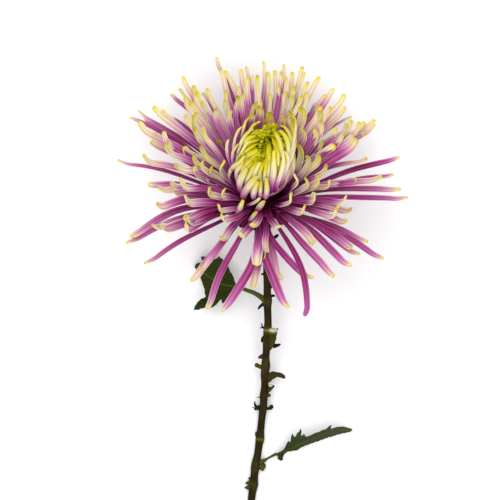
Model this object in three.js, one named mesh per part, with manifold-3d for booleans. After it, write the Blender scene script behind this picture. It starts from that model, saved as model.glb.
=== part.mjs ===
// A spider chrysanthemum cut from its plant and laid on its back, in millimetres, +Z up.
// The stem's cut end and the far florets rest on the surface at z = 0. The bloom looks up, off the stem.
import * as THREE from 'three';
import { mergeVertices } from 'three/addons/utils/BufferGeometryUtils.js';
import Module from 'manifold-3d';

const wasm = await Module();
wasm.setup();

// ---- Driving dimensions ----

const RECEPTACLE = new THREE.Vector3(-0.7, 41.1, 41); // the point that every floret grows from
const TILT = THREE.MathUtils.degToRad(45); // between the bloom's axis and the vertical
const LEAN = 0.07; // how far the inner florets lean to the right, over their height
const GAP = 0.3; // between neighbouring pieces
const GOLDEN_ANGLE = THREE.MathUtils.degToRad(137.508);
const BLADE = 0.7; // thickness of a floret at its middle, and of a leaf

// How far chance moves each property of a floret to either side of its rule.
const SCATTER = {
  hook: 0.3, // share of the hook's height
  foot: 0.5, // along the axis
  bow: 5, // degrees
  sway: 2.2, // of the middle line to one side
  twist: 24, // degrees over the length
  width: 0.15, // share of the width
  rise: 3, // degrees
  reach: 0.06, // share of the reach
  ballTurn: 0.35, // share of the spacing of the ball's florets
  ballEnd: 0.04, // of a ball floret's tip, as a share of the ball's height
  ballSlant: 7, // degrees round the ball, from foot to tip
};

// The core that the ray florets stand out of, as [radius, height] along the bloom's axis.
const CORE_PROFILE = [[0, 0.3], [8.6, 0.3], [14.5, 2.8], [18, 7], [18.8, 12], [17.4, 16], [0, 17]];

// The ball of incurved florets, whose top closes on a crease. At each share of the way from its foot over the
// top into the crease: half its width across the crease, half its length along it, and height on the axis.
const BALL_SECTIONS = [
  [0, 4.5, 4.5, 8], [0.1, 8.5, 8.5, 10], [0.25, 13.5, 13.5, 15.5], [0.4, 16, 16, 23], [0.5, 16.4, 16.4, 29],
  [0.6, 15.6, 16, 35], [0.7, 13.2, 14.8, 40.8], [0.8, 9.4, 13, 44.6], [0.88, 5.6, 11.5, 45.4],
  [0.94, 2.6, 10.3, 44], [1, 0.5, 9.2, 41],
];
const BALL = {
  middle: 27, // height of its centre
  fullTop: 45.4, // height of its surface on both sides of the crease
  top: 46,
  creaseTurn: THREE.MathUtils.degToRad(15), // between the crease and the bloom's far side
  core: 0.66, // size of the body under the florets, as a share of the ball
  coreShares: [0, 0.25, 0.4, 0.6, 0.7, 0.8], // where its rings stand
  berth: 1.6, // that the ray florets' middle lines give the ball
};
const BALL_WHORLS = [
  { count: 14, from: 0.14, to: 0.7, layer: 1, width: 5.6, turn: 0 },
  { count: 12, from: 0.22, to: 0.84, layer: 0.94, width: 5.4, turn: 12 },
  { count: 9, from: 0.34, to: 0.95, layer: 0.87, width: 4.8, turn: 27 },
];
// Where a ball floret's rings stand along it, its width there and its depth in the ball, as shares.
const BALL_RINGS = [[0, 0.5, 0.55], [0.3, 0.85, 0.97], [0.6, 1, 1], [0.85, 0.8, 1], [1, 0.4, 0.96]];
// Small upright tips in a row along the crease.
const EYE = { count: 7, reach: 8.5, stagger: 0.9, foot: 37.5, length: 4.6, width: 1.6 };
const EYE_RINGS = [[0, 1], [0.7, 1], [1, 0.5]]; // height and width, as shares

// Ray florets whose tips are placed one by one, in whorls from the outside in. A tip is [right, up] of the
// receptacle as seen from straight above. rise is the floret's slope over the bloom's plane, in degrees; lean
// adds to it on the far side and takes from it on the near side, where the florets droop.
const PLACED_WHORLS = [
  {
    rise: 10, lean: 16, bow: 14, hook: 1.2, foot: [8.4, 2.2], width: 5,
    tips: [
      [-72, 22], [-65, 45], [-62, 47], [-64.5, -16], [-67, -19], [-58, -29], [-56.5, 11], [-34, -38],
      [-26, -51.5], [-19.5, -52.5], [-4, -41], [13, -51], [23.5, -54.5], [9.5, -37], [25.5, -36.5],
      [36.5, -35.5], [44.5, -30.5], [61, -26.5], [49, -24.5], [53.5, -18], [73.5, 3.5], [70, 8], [66.5, 15],
      [69.5, 24.5], [-23, 74.5], [-45.5, 56], [-55, 32.5],
    ],
  },
  {
    rise: 20, lean: 16, bow: 8, hook: 3.2, foot: [8.4, 3.8], width: 4.8,
    tips: [
      [-59, 24.5], [-61.5, 41.5], [-54, 49.5], [-53, 37], [-49, 48], [-39.5, 64.5], [-41, 58.5],
      [-34.5, 60], [-27, 59], [-19, 68.5], [-17, 68], [-10, 68.5], [-7, 70], [1.5, 72.5], [4.5, 67],
      [7, 68], [9.5, 67.5], [12, 71], [16.5, 67], [20.5, 70], [22, 67], [23, 62.5], [28.5, 65], [36, 59],
      [31.5, 56], [42.5, 55.5], [42.5, 49.5], [57, 43], [57.5, 40], [52, 42], [52, 36.5], [60.5, 14.5],
      [53, 24], [48, 13.5], [45.5, -1.5], [42.5, -8], [46, -20], [26.5, -19], [-2, -30], [0.5, -27],
      [-30, -32], [-54, -10], [-50, -10.5], [-52, 0.5], [-51.5, 9], [-45, 11], [-44, 7.5],
    ],
  },
  {
    rise: 30, lean: 13, bow: 4, hook: 3.4, foot: [8.4, 5.4], width: 4.5,
    tips: [
      [-49, 36.5], [-48, 30.5], [-46, 31], [-32, 57.5], [-33.5, 55.5], [-39, 53.5], [-35, 52.5], [-29.5, 52],
      [-18.5, 57.5], [-18.5, 52.5], [-12, 59.5], [-7, 64.5], [-4, 65.5], [-2, 65.5], [10, 65.5], [13.5, 64.5],
      [10, 60], [11.5, 57.5], [16.5, 60], [5, 56], [23.5, 56.5], [21, 55], [17, 55], [34.5, 50], [29.5, 50.5],
      [45.5, 42.5], [42.5, 41.5], [49.5, 41], [48, 34], [46, 35], [41.5, 35.5], [38, 38.5], [37, 30.5],
      [39, 1.5], [37.5, -2], [-38.5, -5], [-37, -5.5], [-37.5, -8.5], [-37.5, 4.5], [-39, 28.5],
      [-38, 45.5],
    ],
  },
];

// Inner ray florets, whose tips are placed as above and stand out to a reach, or to beyond times what shows
// of it.
const INNER_WHORLS = [
  {
    reach: 44, beyond: 1.1, bow: -6, hook: 3.4, foot: [8.2, 6.6], width: 4.3,
    tips: [
      [-34, 45], [-32.5, 46.5], [-22, 49], [-15, 47.5], [-32.5, 39.5], [-29, 39.5], [-8.5, 56], [0, 50],
      [27.5, 49.5], [29.5, 48], [21, 48.5], [19, 49.5], [29.5, 43], [27.5, 37.5], [33, 20.5], [29, 25.5],
      [28, 14.5], [26.5, 6], [21, -0.5], [10, -11], [3, -23], [-10.5, -13.5], [-21, -15.5], [-20, -4],
      [-31, -2.5], [-33.5, 19.5], [-33.5, 26], [-28.5, 23],
    ],
  },
  {
    reach: 38, beyond: 1.15, bow: -12, hook: 3.2, foot: [7.8, 7.6], width: 4,
    tips: [
      [-10.5, 55], [-3, 51.5], [-3.5, 46], [4, 46.5], [11, 44.5], [14.5, 46.5], [20.5, 38.5], [23, 25.5],
      [18.5, 31], [22, 14], [16, 15.5], [14.5, 6], [1.5, 1.5], [-1.5, -3.5], [-4.5, -9.5], [-8.5, 2],
      [-21, 0.5], [-25.5, 9], [-18.5, 9], [-24.5, 19.5], [-18, 22],
    ],
  },
];
// The outermost ray florets on the far side, which droop to the surface in a fan between two azimuths in
// degrees: 0 is the bloom's right and 90 its far side.
const FAN = {
  count: 12, rise: -1, lean: 4, reach: 78, bow: 10, hook: 1.6, foot: [8.4, 1.6], width: 4.8,
  from: 40, to: 140,
};

// Where a floret's rings stand along it, and its width there as a share of its full width.
const RINGS = [[0, 0.4], [0.4, 0.85], [0.74, 1], [0.9, 0.8], [1, 0.4]];
const SURFACE = { rest: 0.2, softness: 1.6 }; // height of a pressed floret's middle line, and its bend
const HOOK_FROM = 0.8; // share of the length where the tip begins to turn up
const CORE_SIDES = 16;
const CLEARANCE_SIDES = 24;
const KEEL = 0.22; // how far the edges stand over the middle, as a share of the width

// The involucre: a green cup of bracts that holds the florets, about the bloom's axis.
const CUP_PROFILE = [[0, -9], [2.6, -9], [4.4, -7.4], [7.6, -4.6], [9, -1.4], [8.6, 0], [0, 0]];
const BRACT_ROWS = [
  { count: 12, top: -0.5, foot: -6.6, width: 3.8, shift: 0 },
  { count: 8, top: -3.4, foot: -8.2, width: 3.4, shift: 0.5 },
];
const BRACT_RINGS = [[0, 0.8, 0], [0.5, 1, 0.4], [1, 0.25, 0.7]]; // place, width and distance off the cup

// The stem's middle line below its neck, down to the cut end, from the receptacle as [right, up, height].
const STEM_LINE = [
  [1.4, -12.5, -11.2], [2.4, -22, -15], [3.2, -34, -18.6], [3.3, -48, -22.6], [3.6, -62, -27],
  [2.4, -78, -31.4], [1.8, -94, -35.4], [0.2, -110, -38.6], [-1.3, -123, -40], [-3, -134, -40],
  [-4.5, -146, -40], [-5.4, -157, -40],
];
const NECK = [-9 - GAP, -11.5]; // heights of the stem's first two points, which lie on the bloom's axis
const STEM = { radius: 2, neckRadius: 2.5, neckShare: 0.12, sides: 8, rings: 26 };
// The middle line's height where a flat side of the stem lies down.
const STEM_REST = STEM.radius * Math.cos(Math.PI / STEM.sides);

// Where a stub's rings stand along it, their width and how far they bend towards the bloom, as shares.
const STUB_RINGS = [[0, 1.5, 0], [0.7, 1, 0.04], [1, 0.5, 0.22]];
const STUB_ROOT = 0.3; // share of the stem's radius that a stub's root keeps from the stem's middle
// What is left of trimmed leaves: [distance up from the receptacle, side in degrees from the right towards
// the viewer, length, thickness, slope towards the bloom in degrees].
const STUBS = [
  [-17, 10, 4.4, 0.9, 35], [-35, 5, 3.4, 0.7, 20], [-39, 20, 2.8, 1.5, 45], [-54, 175, 3.2, 1.2, -35],
  [-62, 180, 3.2, 0.9, 30], [-64, 15, 3.8, 2.3, 20], [-69, 170, 2.6, 1.2, -50], [-71, 0, 4.4, 1.1, 10],
  [-78, 185, 2.8, 1.1, 35], [-81, 165, 4.2, 1.3, 15], [-87, 10, 8.6, 1.7, -18], [-93, 30, 2.6, 2.0, 5],
  [-98, 180, 2.8, 0.7, 5], [-102, 170, 4.4, 1.3, 35], [-102, 5, 5.0, 1.2, 30], [-116, 185, 1.6, 1.4, 20],
  [-133, 20, 3.4, 1.6, -5], [-142, 175, 4.8, 1.3, -10],
];

const STALK = { rings: 5, sides: 6 };
const LEAF_WAVE = { height: 0.6, turn: 1.3, fullAt: 6 }; // the wave of a leaf's margins

// Leaves, heading from the stem to the leaf's tip. rib is the midrib's line, [right, up, height] of the
// receptacle; left and right are the margins as seen from straight above, [right, up], with as many points
// each. bank is the blade's rise towards its left, and fold its drop from the midrib to both margins, over the
// distance.
const LEAVES = [
  {
    name: 'leaf_near_bloom',
    growsAt: -46,
    petiole: [[-3, -43.8, -24.2], [-11, -40.7, -27.4]],
    petioleRadius: 0.8,
    rib: [[-10.6, -40.8, -27.3], [-19.5, -39.3, -31.5], [-26, -35.5, -36], [-32.5, -31.4, -40.2]],
    bank: 0.12,
    fold: -0.12,
    left: [
      [-11.2, -41], [-13.5, -43], [-16, -46], [-18.8, -49], [-20, -47], [-21.8, -49], [-24, -50.7],
      [-28, -51], [-31.7, -52.2], [-33.6, -52], [-32.6, -49.5], [-30.5, -47], [-27.6, -45.5], [-28.2, -44],
      [-28.2, -42], [-29, -39.9], [-29.8, -37.5], [-31.5, -33.3], [-32.8, -31.8],
    ],
    right: [
      [-11.2, -40.5], [-12.6, -38.6], [-13.5, -35], [-15, -32.8], [-16.8, -29.2], [-18.8, -25.8],
      [-20.5, -23.8], [-21.8, -27], [-23.2, -27.2], [-25, -26.5], [-26.8, -26], [-29, -26.6],
      [-28.5, -28.2], [-28.9, -28.7], [-30.5, -28.6], [-32.1, -29], [-32.9, -30], [-33, -31],
      [-32.8, -31.2],
    ],
  },
  {
    name: 'leaf_near_cut',
    growsAt: -128.5,
    petiole: [[3.6, -126.6, -38.6], [7.4, -124.8, -37.4]],
    petioleRadius: 0.6,
    rib: [
      [7, -125, -37.5], [15, -122, -36], [20, -119.6, -35.2], [26.5, -116.8, -34.6], [35, -113.5, -34.4],
      [41.5, -112.2, -35.2], [45.8, -112.2, -36.2],
    ],
    bank: 0.85,
    fold: 0.1,
    left: [
      [7.2, -124.6], [11.5, -122.3], [13.6, -118.2], [14.8, -118.4], [15.7, -114.4], [16.7, -115.7],
      [17.8, -115.2], [20.2, -111.8], [20.4, -115.2], [21.7, -114.6], [23.2, -115.7], [28.5, -113.6],
      [32.7, -111.8], [35.8, -109.8], [35.2, -112], [37.7, -111.1], [41, -110.7], [45.9, -112],
    ],
    right: [
      [7.2, -125.2], [8.4, -125.6], [8.9, -127.6], [11.1, -127.7], [11.6, -125.2], [14, -123.4],
      [17.8, -122.9], [21, -121], [24, -119.9], [26.5, -119], [29.5, -118], [32, -117], [34.3, -116.3],
      [36.5, -115.7], [38.5, -115], [41.8, -114.2], [43, -113.2], [45.9, -112.4],
    ],
  },
];

// ---- The bloom's own axes ----

const AXIS = new THREE.Vector3(0, Math.sin(TILT), Math.cos(TILT));
const RIGHT = new THREE.Vector3(1, 0, 0);
const FAR = new THREE.Vector3(0, Math.cos(TILT), -Math.sin(TILT));
const SPINE = AXIS.clone().addScaledVector(RIGHT, LEAN); // the leaning middle line of the inner florets
const { cos, sin, PI } = Math;
const radians = THREE.MathUtils.degToRad;

const outward = (phi) => RIGHT.clone().multiplyScalar(cos(phi)).addScaledVector(FAR, sin(phi));
const around = (phi) => AXIS.clone().cross(outward(phi));
// A point at a radius and a height about the bloom's axis, from the receptacle.
const aboutAxis = (phi, radius, height) => outward(phi).multiplyScalar(radius).addScaledVector(SPINE, height);
// A repeatable draw for one property of the i-th piece, within its scatter to either side of 0.
function scatter(i, property) {
  const wave = sin(i * 12.9898 + Object.keys(SCATTER).indexOf(property) * 78.233) * 43758.5453;
  return SCATTER[property] * (2 * (wave - Math.floor(wave)) - 1);
}

// ---- Solids ----

// A closed body through rings of equal count, counter-clockwise about the way from the first to the last.
function loft(rings) {
  const n = rings[0].length;
  const last = (rings.length - 1) * n;
  const index = [];
  for (let i = 0; i + 1 < rings.length; i++) {
    for (let j = 0; j < n; j++) {
      const [a, b] = [i * n + j, i * n + ((j + 1) % n)];
      index.push(a, b, b + n, a, b + n, a + n);
    }
  }
  for (let j = 1; j + 1 < n; j++) index.push(0, j + 1, j, last, last + j, last + j + 1);
  const geometry = new THREE.BufferGeometry().setFromPoints(rings.flat());
  return geometry.setIndex(index);
}

function toManifold(geometry) {
  const bare = geometry.clone();
  bare.deleteAttribute('normal');
  bare.deleteAttribute('uv');
  const merged = mergeVertices(bare, 1e-4);
  return new wasm.Manifold(new wasm.Mesh({
    numProp: 3,
    vertProperties: Float32Array.from(merged.attributes.position.array),
    triVerts: Uint32Array.from(merged.index.array),
  }));
}

function fromManifold(solid) {
  const mesh = solid.getMesh();
  const position = new Float32Array(mesh.numVert * 3);
  for (let i = 0; i < mesh.numVert; i++) {
    position.set(mesh.vertProperties.subarray(i * mesh.numProp, i * mesh.numProp + 3), i * 3);
  }
  const geometry = new THREE.BufferGeometry();
  geometry.setAttribute('position', new THREE.BufferAttribute(position, 3));
  geometry.setIndex(new THREE.BufferAttribute(Uint32Array.from(mesh.triVerts), 1));
  return geometry;
}

// One body from many, without the scraps that a cut leaves loose.
function fuse(geometries, cutters = []) {
  let solid = wasm.Manifold.union(geometries.map(toManifold));
  for (const cutter of cutters) solid = solid.subtract(toManifold(cutter));
  const bodies = solid.decompose().sort((a, b) => b.volume() - a.volume());
  return fromManifold(bodies[0]);
}

// A body of revolution about the bloom's axis, from [radius, height] pairs that start and end on the axis.
function lathe(profile, segments) {
  const geometry = new THREE.LatheGeometry(profile.map(([r, h]) => new THREE.Vector2(r, h)), segments);
  return geometry.applyMatrix4(new THREE.Matrix4().makeBasis(RIGHT, SPINE, FAR.clone().negate()));
}

// Three-sided rings along a line: two edges and a keel under them. side(i) points across the blade.
function blade(line, side, widths, thickness) {
  return loft(line.map((point, i) => {
    const ahead = line[Math.min(i + 1, line.length - 1)];
    const behind = line[Math.max(i - 1, 0)];
    const along = ahead.clone().sub(behind).normalize();
    const across = side(i).addScaledVector(along, -side(i).dot(along)).normalize();
    const upper = along.clone().cross(across);
    const lift = KEEL * widths[i];
    const edge = (half) => point.clone().addScaledVector(across, half).addScaledVector(upper, lift);
    const keel = point.clone().addScaledVector(upper, -thickness);
    return [edge(widths[i] / 2), edge(-widths[i] / 2), keel];
  }));
}

// ---- The ball ----

// A value at a place on a table of sections, on the straight line between the two sections about it.
function between(sections, place, column, by = 0) {
  const above = Math.max(1, sections.findIndex((section) => section[by] >= place));
  const [low, high] = [sections[above - 1], sections[above]];
  return low[column] + ((high[column] - low[column]) * (place - low[by])) / (high[by] - low[by]);
}

// A point of the ball at an azimuth and a share of the way from the foot into the crease, on a layer.
function ballPoint(phi, share, layer) {
  const [across, along, height] = [1, 2, 3].map((column) => between(BALL_SECTIONS, share, column));
  const turned = phi + BALL.creaseTurn;
  return outward(-BALL.creaseTurn).multiplyScalar(across * layer * cos(turned))
    .addScaledVector(outward(PI / 2 - BALL.creaseTurn), along * layer * sin(turned))
    .addScaledVector(SPINE, BALL.middle + (height - BALL.middle) * layer);
}

function ballCore() {
  return loft(BALL.coreShares.map((share) => Array.from({ length: CORE_SIDES }, (_, j) => (
    ballPoint((2 * PI * j) / CORE_SIDES, share, BALL.core)))));
}

function ballFlorets() {
  const florets = [];
  for (const whorl of BALL_WHORLS) {
    for (let i = 0; i < whorl.count; i++) {
      const seed = florets.length;
      const phi = (2 * PI * (i + scatter(seed, 'ballTurn'))) / whorl.count + radians(whorl.turn);
      const end = whorl.to + scatter(seed, 'ballEnd');
      const slant = radians(scatter(seed, 'ballSlant'));
      const line = BALL_RINGS.map(([t, , depth]) => {
        const point = ballPoint(phi + slant * t, whorl.from + (end - whorl.from) * t, whorl.layer * depth);
        return point.addScaledVector(outward(phi), -BLADE);
      });
      const widths = BALL_RINGS.map(([, share]) => share * whorl.width);
      florets.push(blade(line, () => around(phi), widths, BLADE));
    }
  }
  return florets;
}

function eyeTips() {
  const crease = outward(PI / 2 - BALL.creaseTurn);
  const aside = outward(-BALL.creaseTurn);
  return Array.from({ length: EYE.count }, (_, i) => {
    const at = EYE.reach * ((2 * (i + 0.5)) / EYE.count - 1);
    const foot = crease.clone().multiplyScalar(at).addScaledVector(aside, i % 2 ? EYE.stagger : -EYE.stagger);
    const line = EYE_RINGS.map(([up]) => foot.clone().addScaledVector(SPINE, EYE.foot + EYE.length * up));
    return blade(line, () => aside.clone(), EYE_RINGS.map(([, share]) => share * EYE.width), BLADE);
  });
}

// The space that the ball takes, with the gap round it, to cut the ray florets clear.
function ballClearance() {
  const outer = BALL_SECTIONS.filter(([, , , height], i) => i === 0 || height > BALL_SECTIONS[i - 1][3]);
  const profile = outer.map(([, , along, height]) => [along + 2 * GAP, height]);
  const [bottom] = outer;
  return lathe([[0, bottom[3] - GAP], ...profile, [0, BALL.top + GAP]], CLEARANCE_SIDES);
}

// ---- Ray florets ----

// The azimuth and reach of a floret of a given rise whose tip stands at [x, y] when seen from straight above.
function aim([x, y], rise) {
  const flat = cos(rise) * cos(TILT);
  const lift = sin(rise) * sin(TILT);
  const spread = y * y + (cos(TILT) * x) ** 2;
  const square = lift * lift - flat * flat;
  const reach = (lift * y - Math.sqrt((lift * y) ** 2 - square * spread)) / square;
  return { phi: Math.atan2((y - lift * reach) / cos(TILT), x), reach };
}

function placedFlorets() {
  return PLACED_WHORLS.flatMap((whorl) => whorl.tips.map((tip) => {
    const rise = radians(whorl.rise + (whorl.lean * tip[1]) / Math.hypot(...tip));
    return { ...whorl, ...aim(tip, rise), rise };
  }));
}

function innerFlorets() {
  return INNER_WHORLS.flatMap((whorl) => whorl.tips.map(([x, y]) => {
    const reach = Math.max(whorl.reach, whorl.beyond * Math.hypot(x, y));
    const tip = new THREE.Vector3(x, y, Math.sqrt(reach * reach - x * x - y * y));
    return { ...whorl, phi: Math.atan2(tip.dot(FAR), x), reach, rise: Math.asin(tip.dot(AXIS) / reach) };
  }));
}

function fannedFlorets() {
  return Array.from({ length: FAN.count }, (_, i) => {
    const phi = radians(FAN.from + ((FAN.to - FAN.from) * (i + 0.5)) / FAN.count);
    const rise = radians(FAN.rise + FAN.lean * sin(phi) + scatter(i, 'rise'));
    return { ...FAN, phi, rise, reach: FAN.reach * (1 + scatter(i, 'reach')) };
  });
}

// A point outside the ball's space is kept, and one inside it is moved out to its surface.
function clearOfBall(point) {
  const height = point.dot(AXIS);
  if (height < BALL_SECTIONS[0][3] || height > BALL.top) return point;
  const radial = point.clone().addScaledVector(SPINE, -height);
  const widest = Math.min(height, BALL.fullTop);
  const least = between(BALL_SECTIONS, widest, 2, 3) + BALL.berth;
  return radial.multiplyScalar(Math.max(1, least / radial.length())).addScaledVector(SPINE, height);
}

// A floret that would hang through the surface bends softly to lie along it, with its underside pressed flat.
function overSurface(point) {
  const over = point.z + RECEPTACLE.z - SURFACE.rest;
  point.z += (Math.hypot(over, SURFACE.softness) - over) / 2;
  return point;
}

// What lies under the surface, to cut the florets' undersides flat where they rest.
function ground() {
  const size = 400;
  return new THREE.BoxGeometry(size, size, size).translate(0, 0, -RECEPTACLE.z - size / 2);
}

// The floret's middle line: a bowed line from its foot to its tip, swaying to one side, with a hooked tip.
function floretLine(floret, seed) {
  const out = outward(floret.phi);
  const slope = (angle) => out.clone().multiplyScalar(cos(angle)).addScaledVector(AXIS, sin(angle));
  const upper = slope(floret.rise + PI / 2);
  const hook = floret.hook * (1 + scatter(seed, 'hook'));
  const foot = aboutAxis(floret.phi, floret.foot[0], floret.foot[1] + scatter(seed, 'foot'));
  const tip = slope(floret.rise).multiplyScalar(floret.reach).addScaledVector(upper, -hook);
  const bow = radians(floret.bow + scatter(seed, 'bow'));
  const knee = foot.clone().addScaledVector(slope(floret.rise + bow), 0.5 * foot.distanceTo(tip));
  const sway = scatter(seed, 'sway');
  return RINGS.map(([t]) => {
    const turned = Math.max(0, (t - HOOK_FROM) / (1 - HOOK_FROM));
    const point = foot.clone().multiplyScalar((1 - t) ** 2)
      .addScaledVector(knee, 2 * t * (1 - t))
      .addScaledVector(tip, t * t)
      .addScaledVector(upper, hook * turned * turned)
      .addScaledVector(around(floret.phi), sway * 4 * t * (1 - t));
    return overSurface(clearOfBall(point));
  });
}

function rayFlorets() {
  return [...placedFlorets(), ...innerFlorets(), ...fannedFlorets()].map((floret, seed) => {
    const twist = radians(scatter(seed, 'twist'));
    const width = floret.width * (1 + scatter(seed, 'width'));
    const line = floretLine(floret, seed);
    const side = (i) => around(floret.phi).applyAxisAngle(outward(floret.phi), twist * RINGS[i][0]);
    return blade(line, side, RINGS.map(([, share]) => share * width), BLADE);
  });
}

// ---- Involucre, stem and leaves ----

// Radius of the cup at a height, on the straight runs of its profile.
function cupRadius(height) {
  const above = CUP_PROFILE.findIndex(([, h]) => h > height);
  const [[r0, h0], [r1, h1]] = [CUP_PROFILE[above - 1], CUP_PROFILE[above]];
  return r0 + ((r1 - r0) * (height - h0)) / (h1 - h0);
}

function involucre() {
  const bracts = BRACT_ROWS.flatMap((row) => Array.from({ length: row.count }, (_, i) => {
    const phi = (2 * PI * (i + row.shift)) / row.count;
    const line = BRACT_RINGS.map(([t, , out]) => {
      const height = row.foot + (row.top - row.foot) * t;
      return aboutAxis(phi, cupRadius(height) + out, height);
    });
    return blade(line, () => around(phi), BRACT_RINGS.map(([, share]) => share * row.width), BLADE);
  }));
  return fuse([lathe(CUP_PROFILE, CORE_SIDES), ...bracts]);
}

const toVector = (point) => new THREE.Vector3(...point);
const smoothLine = (points) => new THREE.CatmullRomCurve3(points, false, 'catmullrom', 0.5);
const stemPoints = [...NECK.map((height) => aboutAxis(0, 0, height)), ...STEM_LINE.map(toVector)];

// Rings of a round rod along a curve, with a flat side turned down.
function rod(curve, steps, sides, radiusAt) {
  const down = new THREE.Vector3(0, 0, -1);
  return loft(Array.from({ length: steps + 1 }, (_, i) => {
    const t = i / steps;
    const along = curve.getTangent(t);
    const under = down.clone().addScaledVector(along, -down.dot(along)).normalize();
    const across = under.clone().cross(along);
    return Array.from({ length: sides }, (_unused, j) => {
      const angle = (2 * PI * (j + 0.5)) / sides;
      return curve.getPoint(t).addScaledVector(under, radiusAt(t) * cos(angle))
        .addScaledVector(across, -radiusAt(t) * sin(angle));
    });
  }));
}

// The stem's middle line, held up by the surface where it would sink below it.
function stemCurve() {
  const curve = smoothLine(stemPoints);
  const free = curve.getPoint.bind(curve);
  curve.getPoint = (t, target) => {
    const point = free(t, target);
    point.z = Math.max(point.z, STEM_REST - RECEPTACLE.z);
    return point;
  };
  return curve;
}

// The share of the stem's line at a distance up (negative) from the receptacle.
function stemShare(up) {
  const after = stemPoints.findIndex((point) => point.y < up);
  const [high, low] = [stemPoints[after - 1].y, stemPoints[after].y];
  return (after - 1 + (high - up) / (high - low)) / (stemPoints.length - 1);
}

// A stub's rings, four-sided, that lean away from the stem and narrow towards a bent tip.
function stub([up, degrees, length, thickness, slope]) {
  const curve = stemCurve();
  const foot = curve.getPoint(stemShare(up));
  const along = curve.getTangent(stemShare(up)).negate();
  const out = new THREE.Vector3(cos(radians(degrees)), 0, sin(radians(degrees)));
  out.addScaledVector(along, -out.dot(along)).normalize();
  const way = out.clone().multiplyScalar(cos(radians(slope))).addScaledVector(along, sin(radians(slope)));
  const across = along.clone().cross(out).normalize();
  const upper = way.clone().cross(across);
  return loft(STUB_RINGS.map(([share, width, bend]) => {
    const middle = foot.clone().addScaledVector(way, STEM.radius * STUB_ROOT + share * length)
      .addScaledVector(along, bend * length);
    const half = (width * thickness) / 2;
    return [[1, 0], [0, 1], [-1, 0], [0, -1]].map(([a, b]) => middle.clone()
      .addScaledVector(across, a * half).addScaledVector(upper, b * half));
  }));
}

function stem() {
  const widening = STEM.neckRadius - STEM.radius;
  const neck = (t) => STEM.radius + widening * Math.max(0, 1 - t / STEM.neckShare);
  return fuse([rod(stemCurve(), STEM.rings, STEM.sides, neck), ...STUBS.map(stub)]);
}

// The points of a leaf's upper face: the rib's, the left margin's and the right margin's, as many of each.
function leafFace({ rib, bank, fold, left, right }) {
  const ribLine = smoothLine(rib.map(toVector));
  const middles = left.map((_, i) => ribLine.getPoint(i / (left.length - 1)));
  const margin = (places, way) => places.map(([x, y], i) => {
    const reach = Math.hypot(x - middles[i].x, y - middles[i].y);
    const wave = LEAF_WAVE.height * sin(i * LEAF_WAVE.turn + way) * Math.min(1, reach / LEAF_WAVE.fullAt);
    return new THREE.Vector3(x, y, middles[i].z + (way * bank - fold) * reach + wave);
  });
  return [...middles, ...margin(left, 1), ...margin(right, -1)];
}

// A leaf's blade as one body: its two halves, from the rib to each margin, split into triangles as seen from
// straight above, the same triangles below them, and a wall round the margin.
function leafBlade(leaf) {
  const upper = leafFace(leaf);
  const thickness = BLADE * Math.hypot(1, leaf.bank + Math.abs(leaf.fold));
  for (const point of upper) point.z = Math.max(point.z, thickness - RECEPTACLE.z);
  const lower = upper.map((point) => point.clone().setZ(point.z - thickness));
  const count = leaf.left.length;
  const [rib, left, right] = [0, 1, 2].map((row) => Array.from({ length: count }, (_, i) => row * count + i));
  const index = [];
  for (const margin of [left, right]) {
    const half = [...rib, ...margin.toReversed()];
    const plan = half.map((corner) => new THREE.Vector2(upper[corner].x, upper[corner].y));
    for (const face of THREE.ShapeUtils.triangulateShape(plan, [])) {
      const [a, b, c] = face.map((corner) => half[corner]);
      index.push(a, b, c, c + upper.length, b + upper.length, a + upper.length);
    }
  }
  const outline = [rib[0], ...right, rib.at(-1), ...left.toReversed()];
  outline.forEach((a, i) => {
    const b = outline[(i + 1) % outline.length];
    index.push(a + upper.length, b + upper.length, b, a + upper.length, b, a);
  });
  return new THREE.BufferGeometry().setFromPoints([...upper, ...lower]).setIndex(index);
}

function leafStalk({ growsAt, petiole, petioleRadius, rib }) {
  const seat = stemCurve().getPoint(stemShare(growsAt));
  const clear = Math.sign(rib[0][0] - seat.x) * (STEM.radius + GAP);
  const foot = new THREE.Vector3(seat.x + clear, seat.y, seat.z);
  return rod(smoothLine([foot, ...petiole.map(toVector)]), STALK.rings, STALK.sides, () => petioleRadius);
}

// ---- The flower ----

const finish = (color, roughness) => new THREE.MeshStandardMaterial({ color, roughness, metalness: 0 });
const flower = new THREE.Group();
flower.position.copy(RECEPTACLE);

function add(name, geometry, material) {
  const mesh = new THREE.Mesh(geometry, material);
  mesh.name = name;
  geometry.computeVertexNormals();
  flower.add(mesh);
}

const rays = fuse([lathe(CORE_PROFILE, CORE_SIDES), ...rayFlorets()], [ballClearance(), ground()]);
add('ray_florets', rays, finish(0xa8509a, 0.55));
add('incurved_florets', fuse([ballCore(), ...ballFlorets(), ...eyeTips()]), finish(0xe6dc6a, 0.55));
add('involucre', involucre(), finish(0x4d6130, 0.7));
add('stem', stem(), finish(0x3b3f22, 0.65));
for (const leaf of LEAVES) {
  add(leaf.name, fuse([leafBlade(leaf), leafStalk(leaf)]), finish(0x2f4220, 0.6));
}

export default flower;
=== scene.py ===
"""A spider chrysanthemum, cut and laid on its back, with the camera looking straight down on it.

Places and sizes are in millimetres from the receptacle, the point that every floret grows from, until a mesh
is made.
"""

import math

import bpy
import numpy as np
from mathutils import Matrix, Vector
from mathutils.geometry import delaunay_2d_cdt


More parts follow.
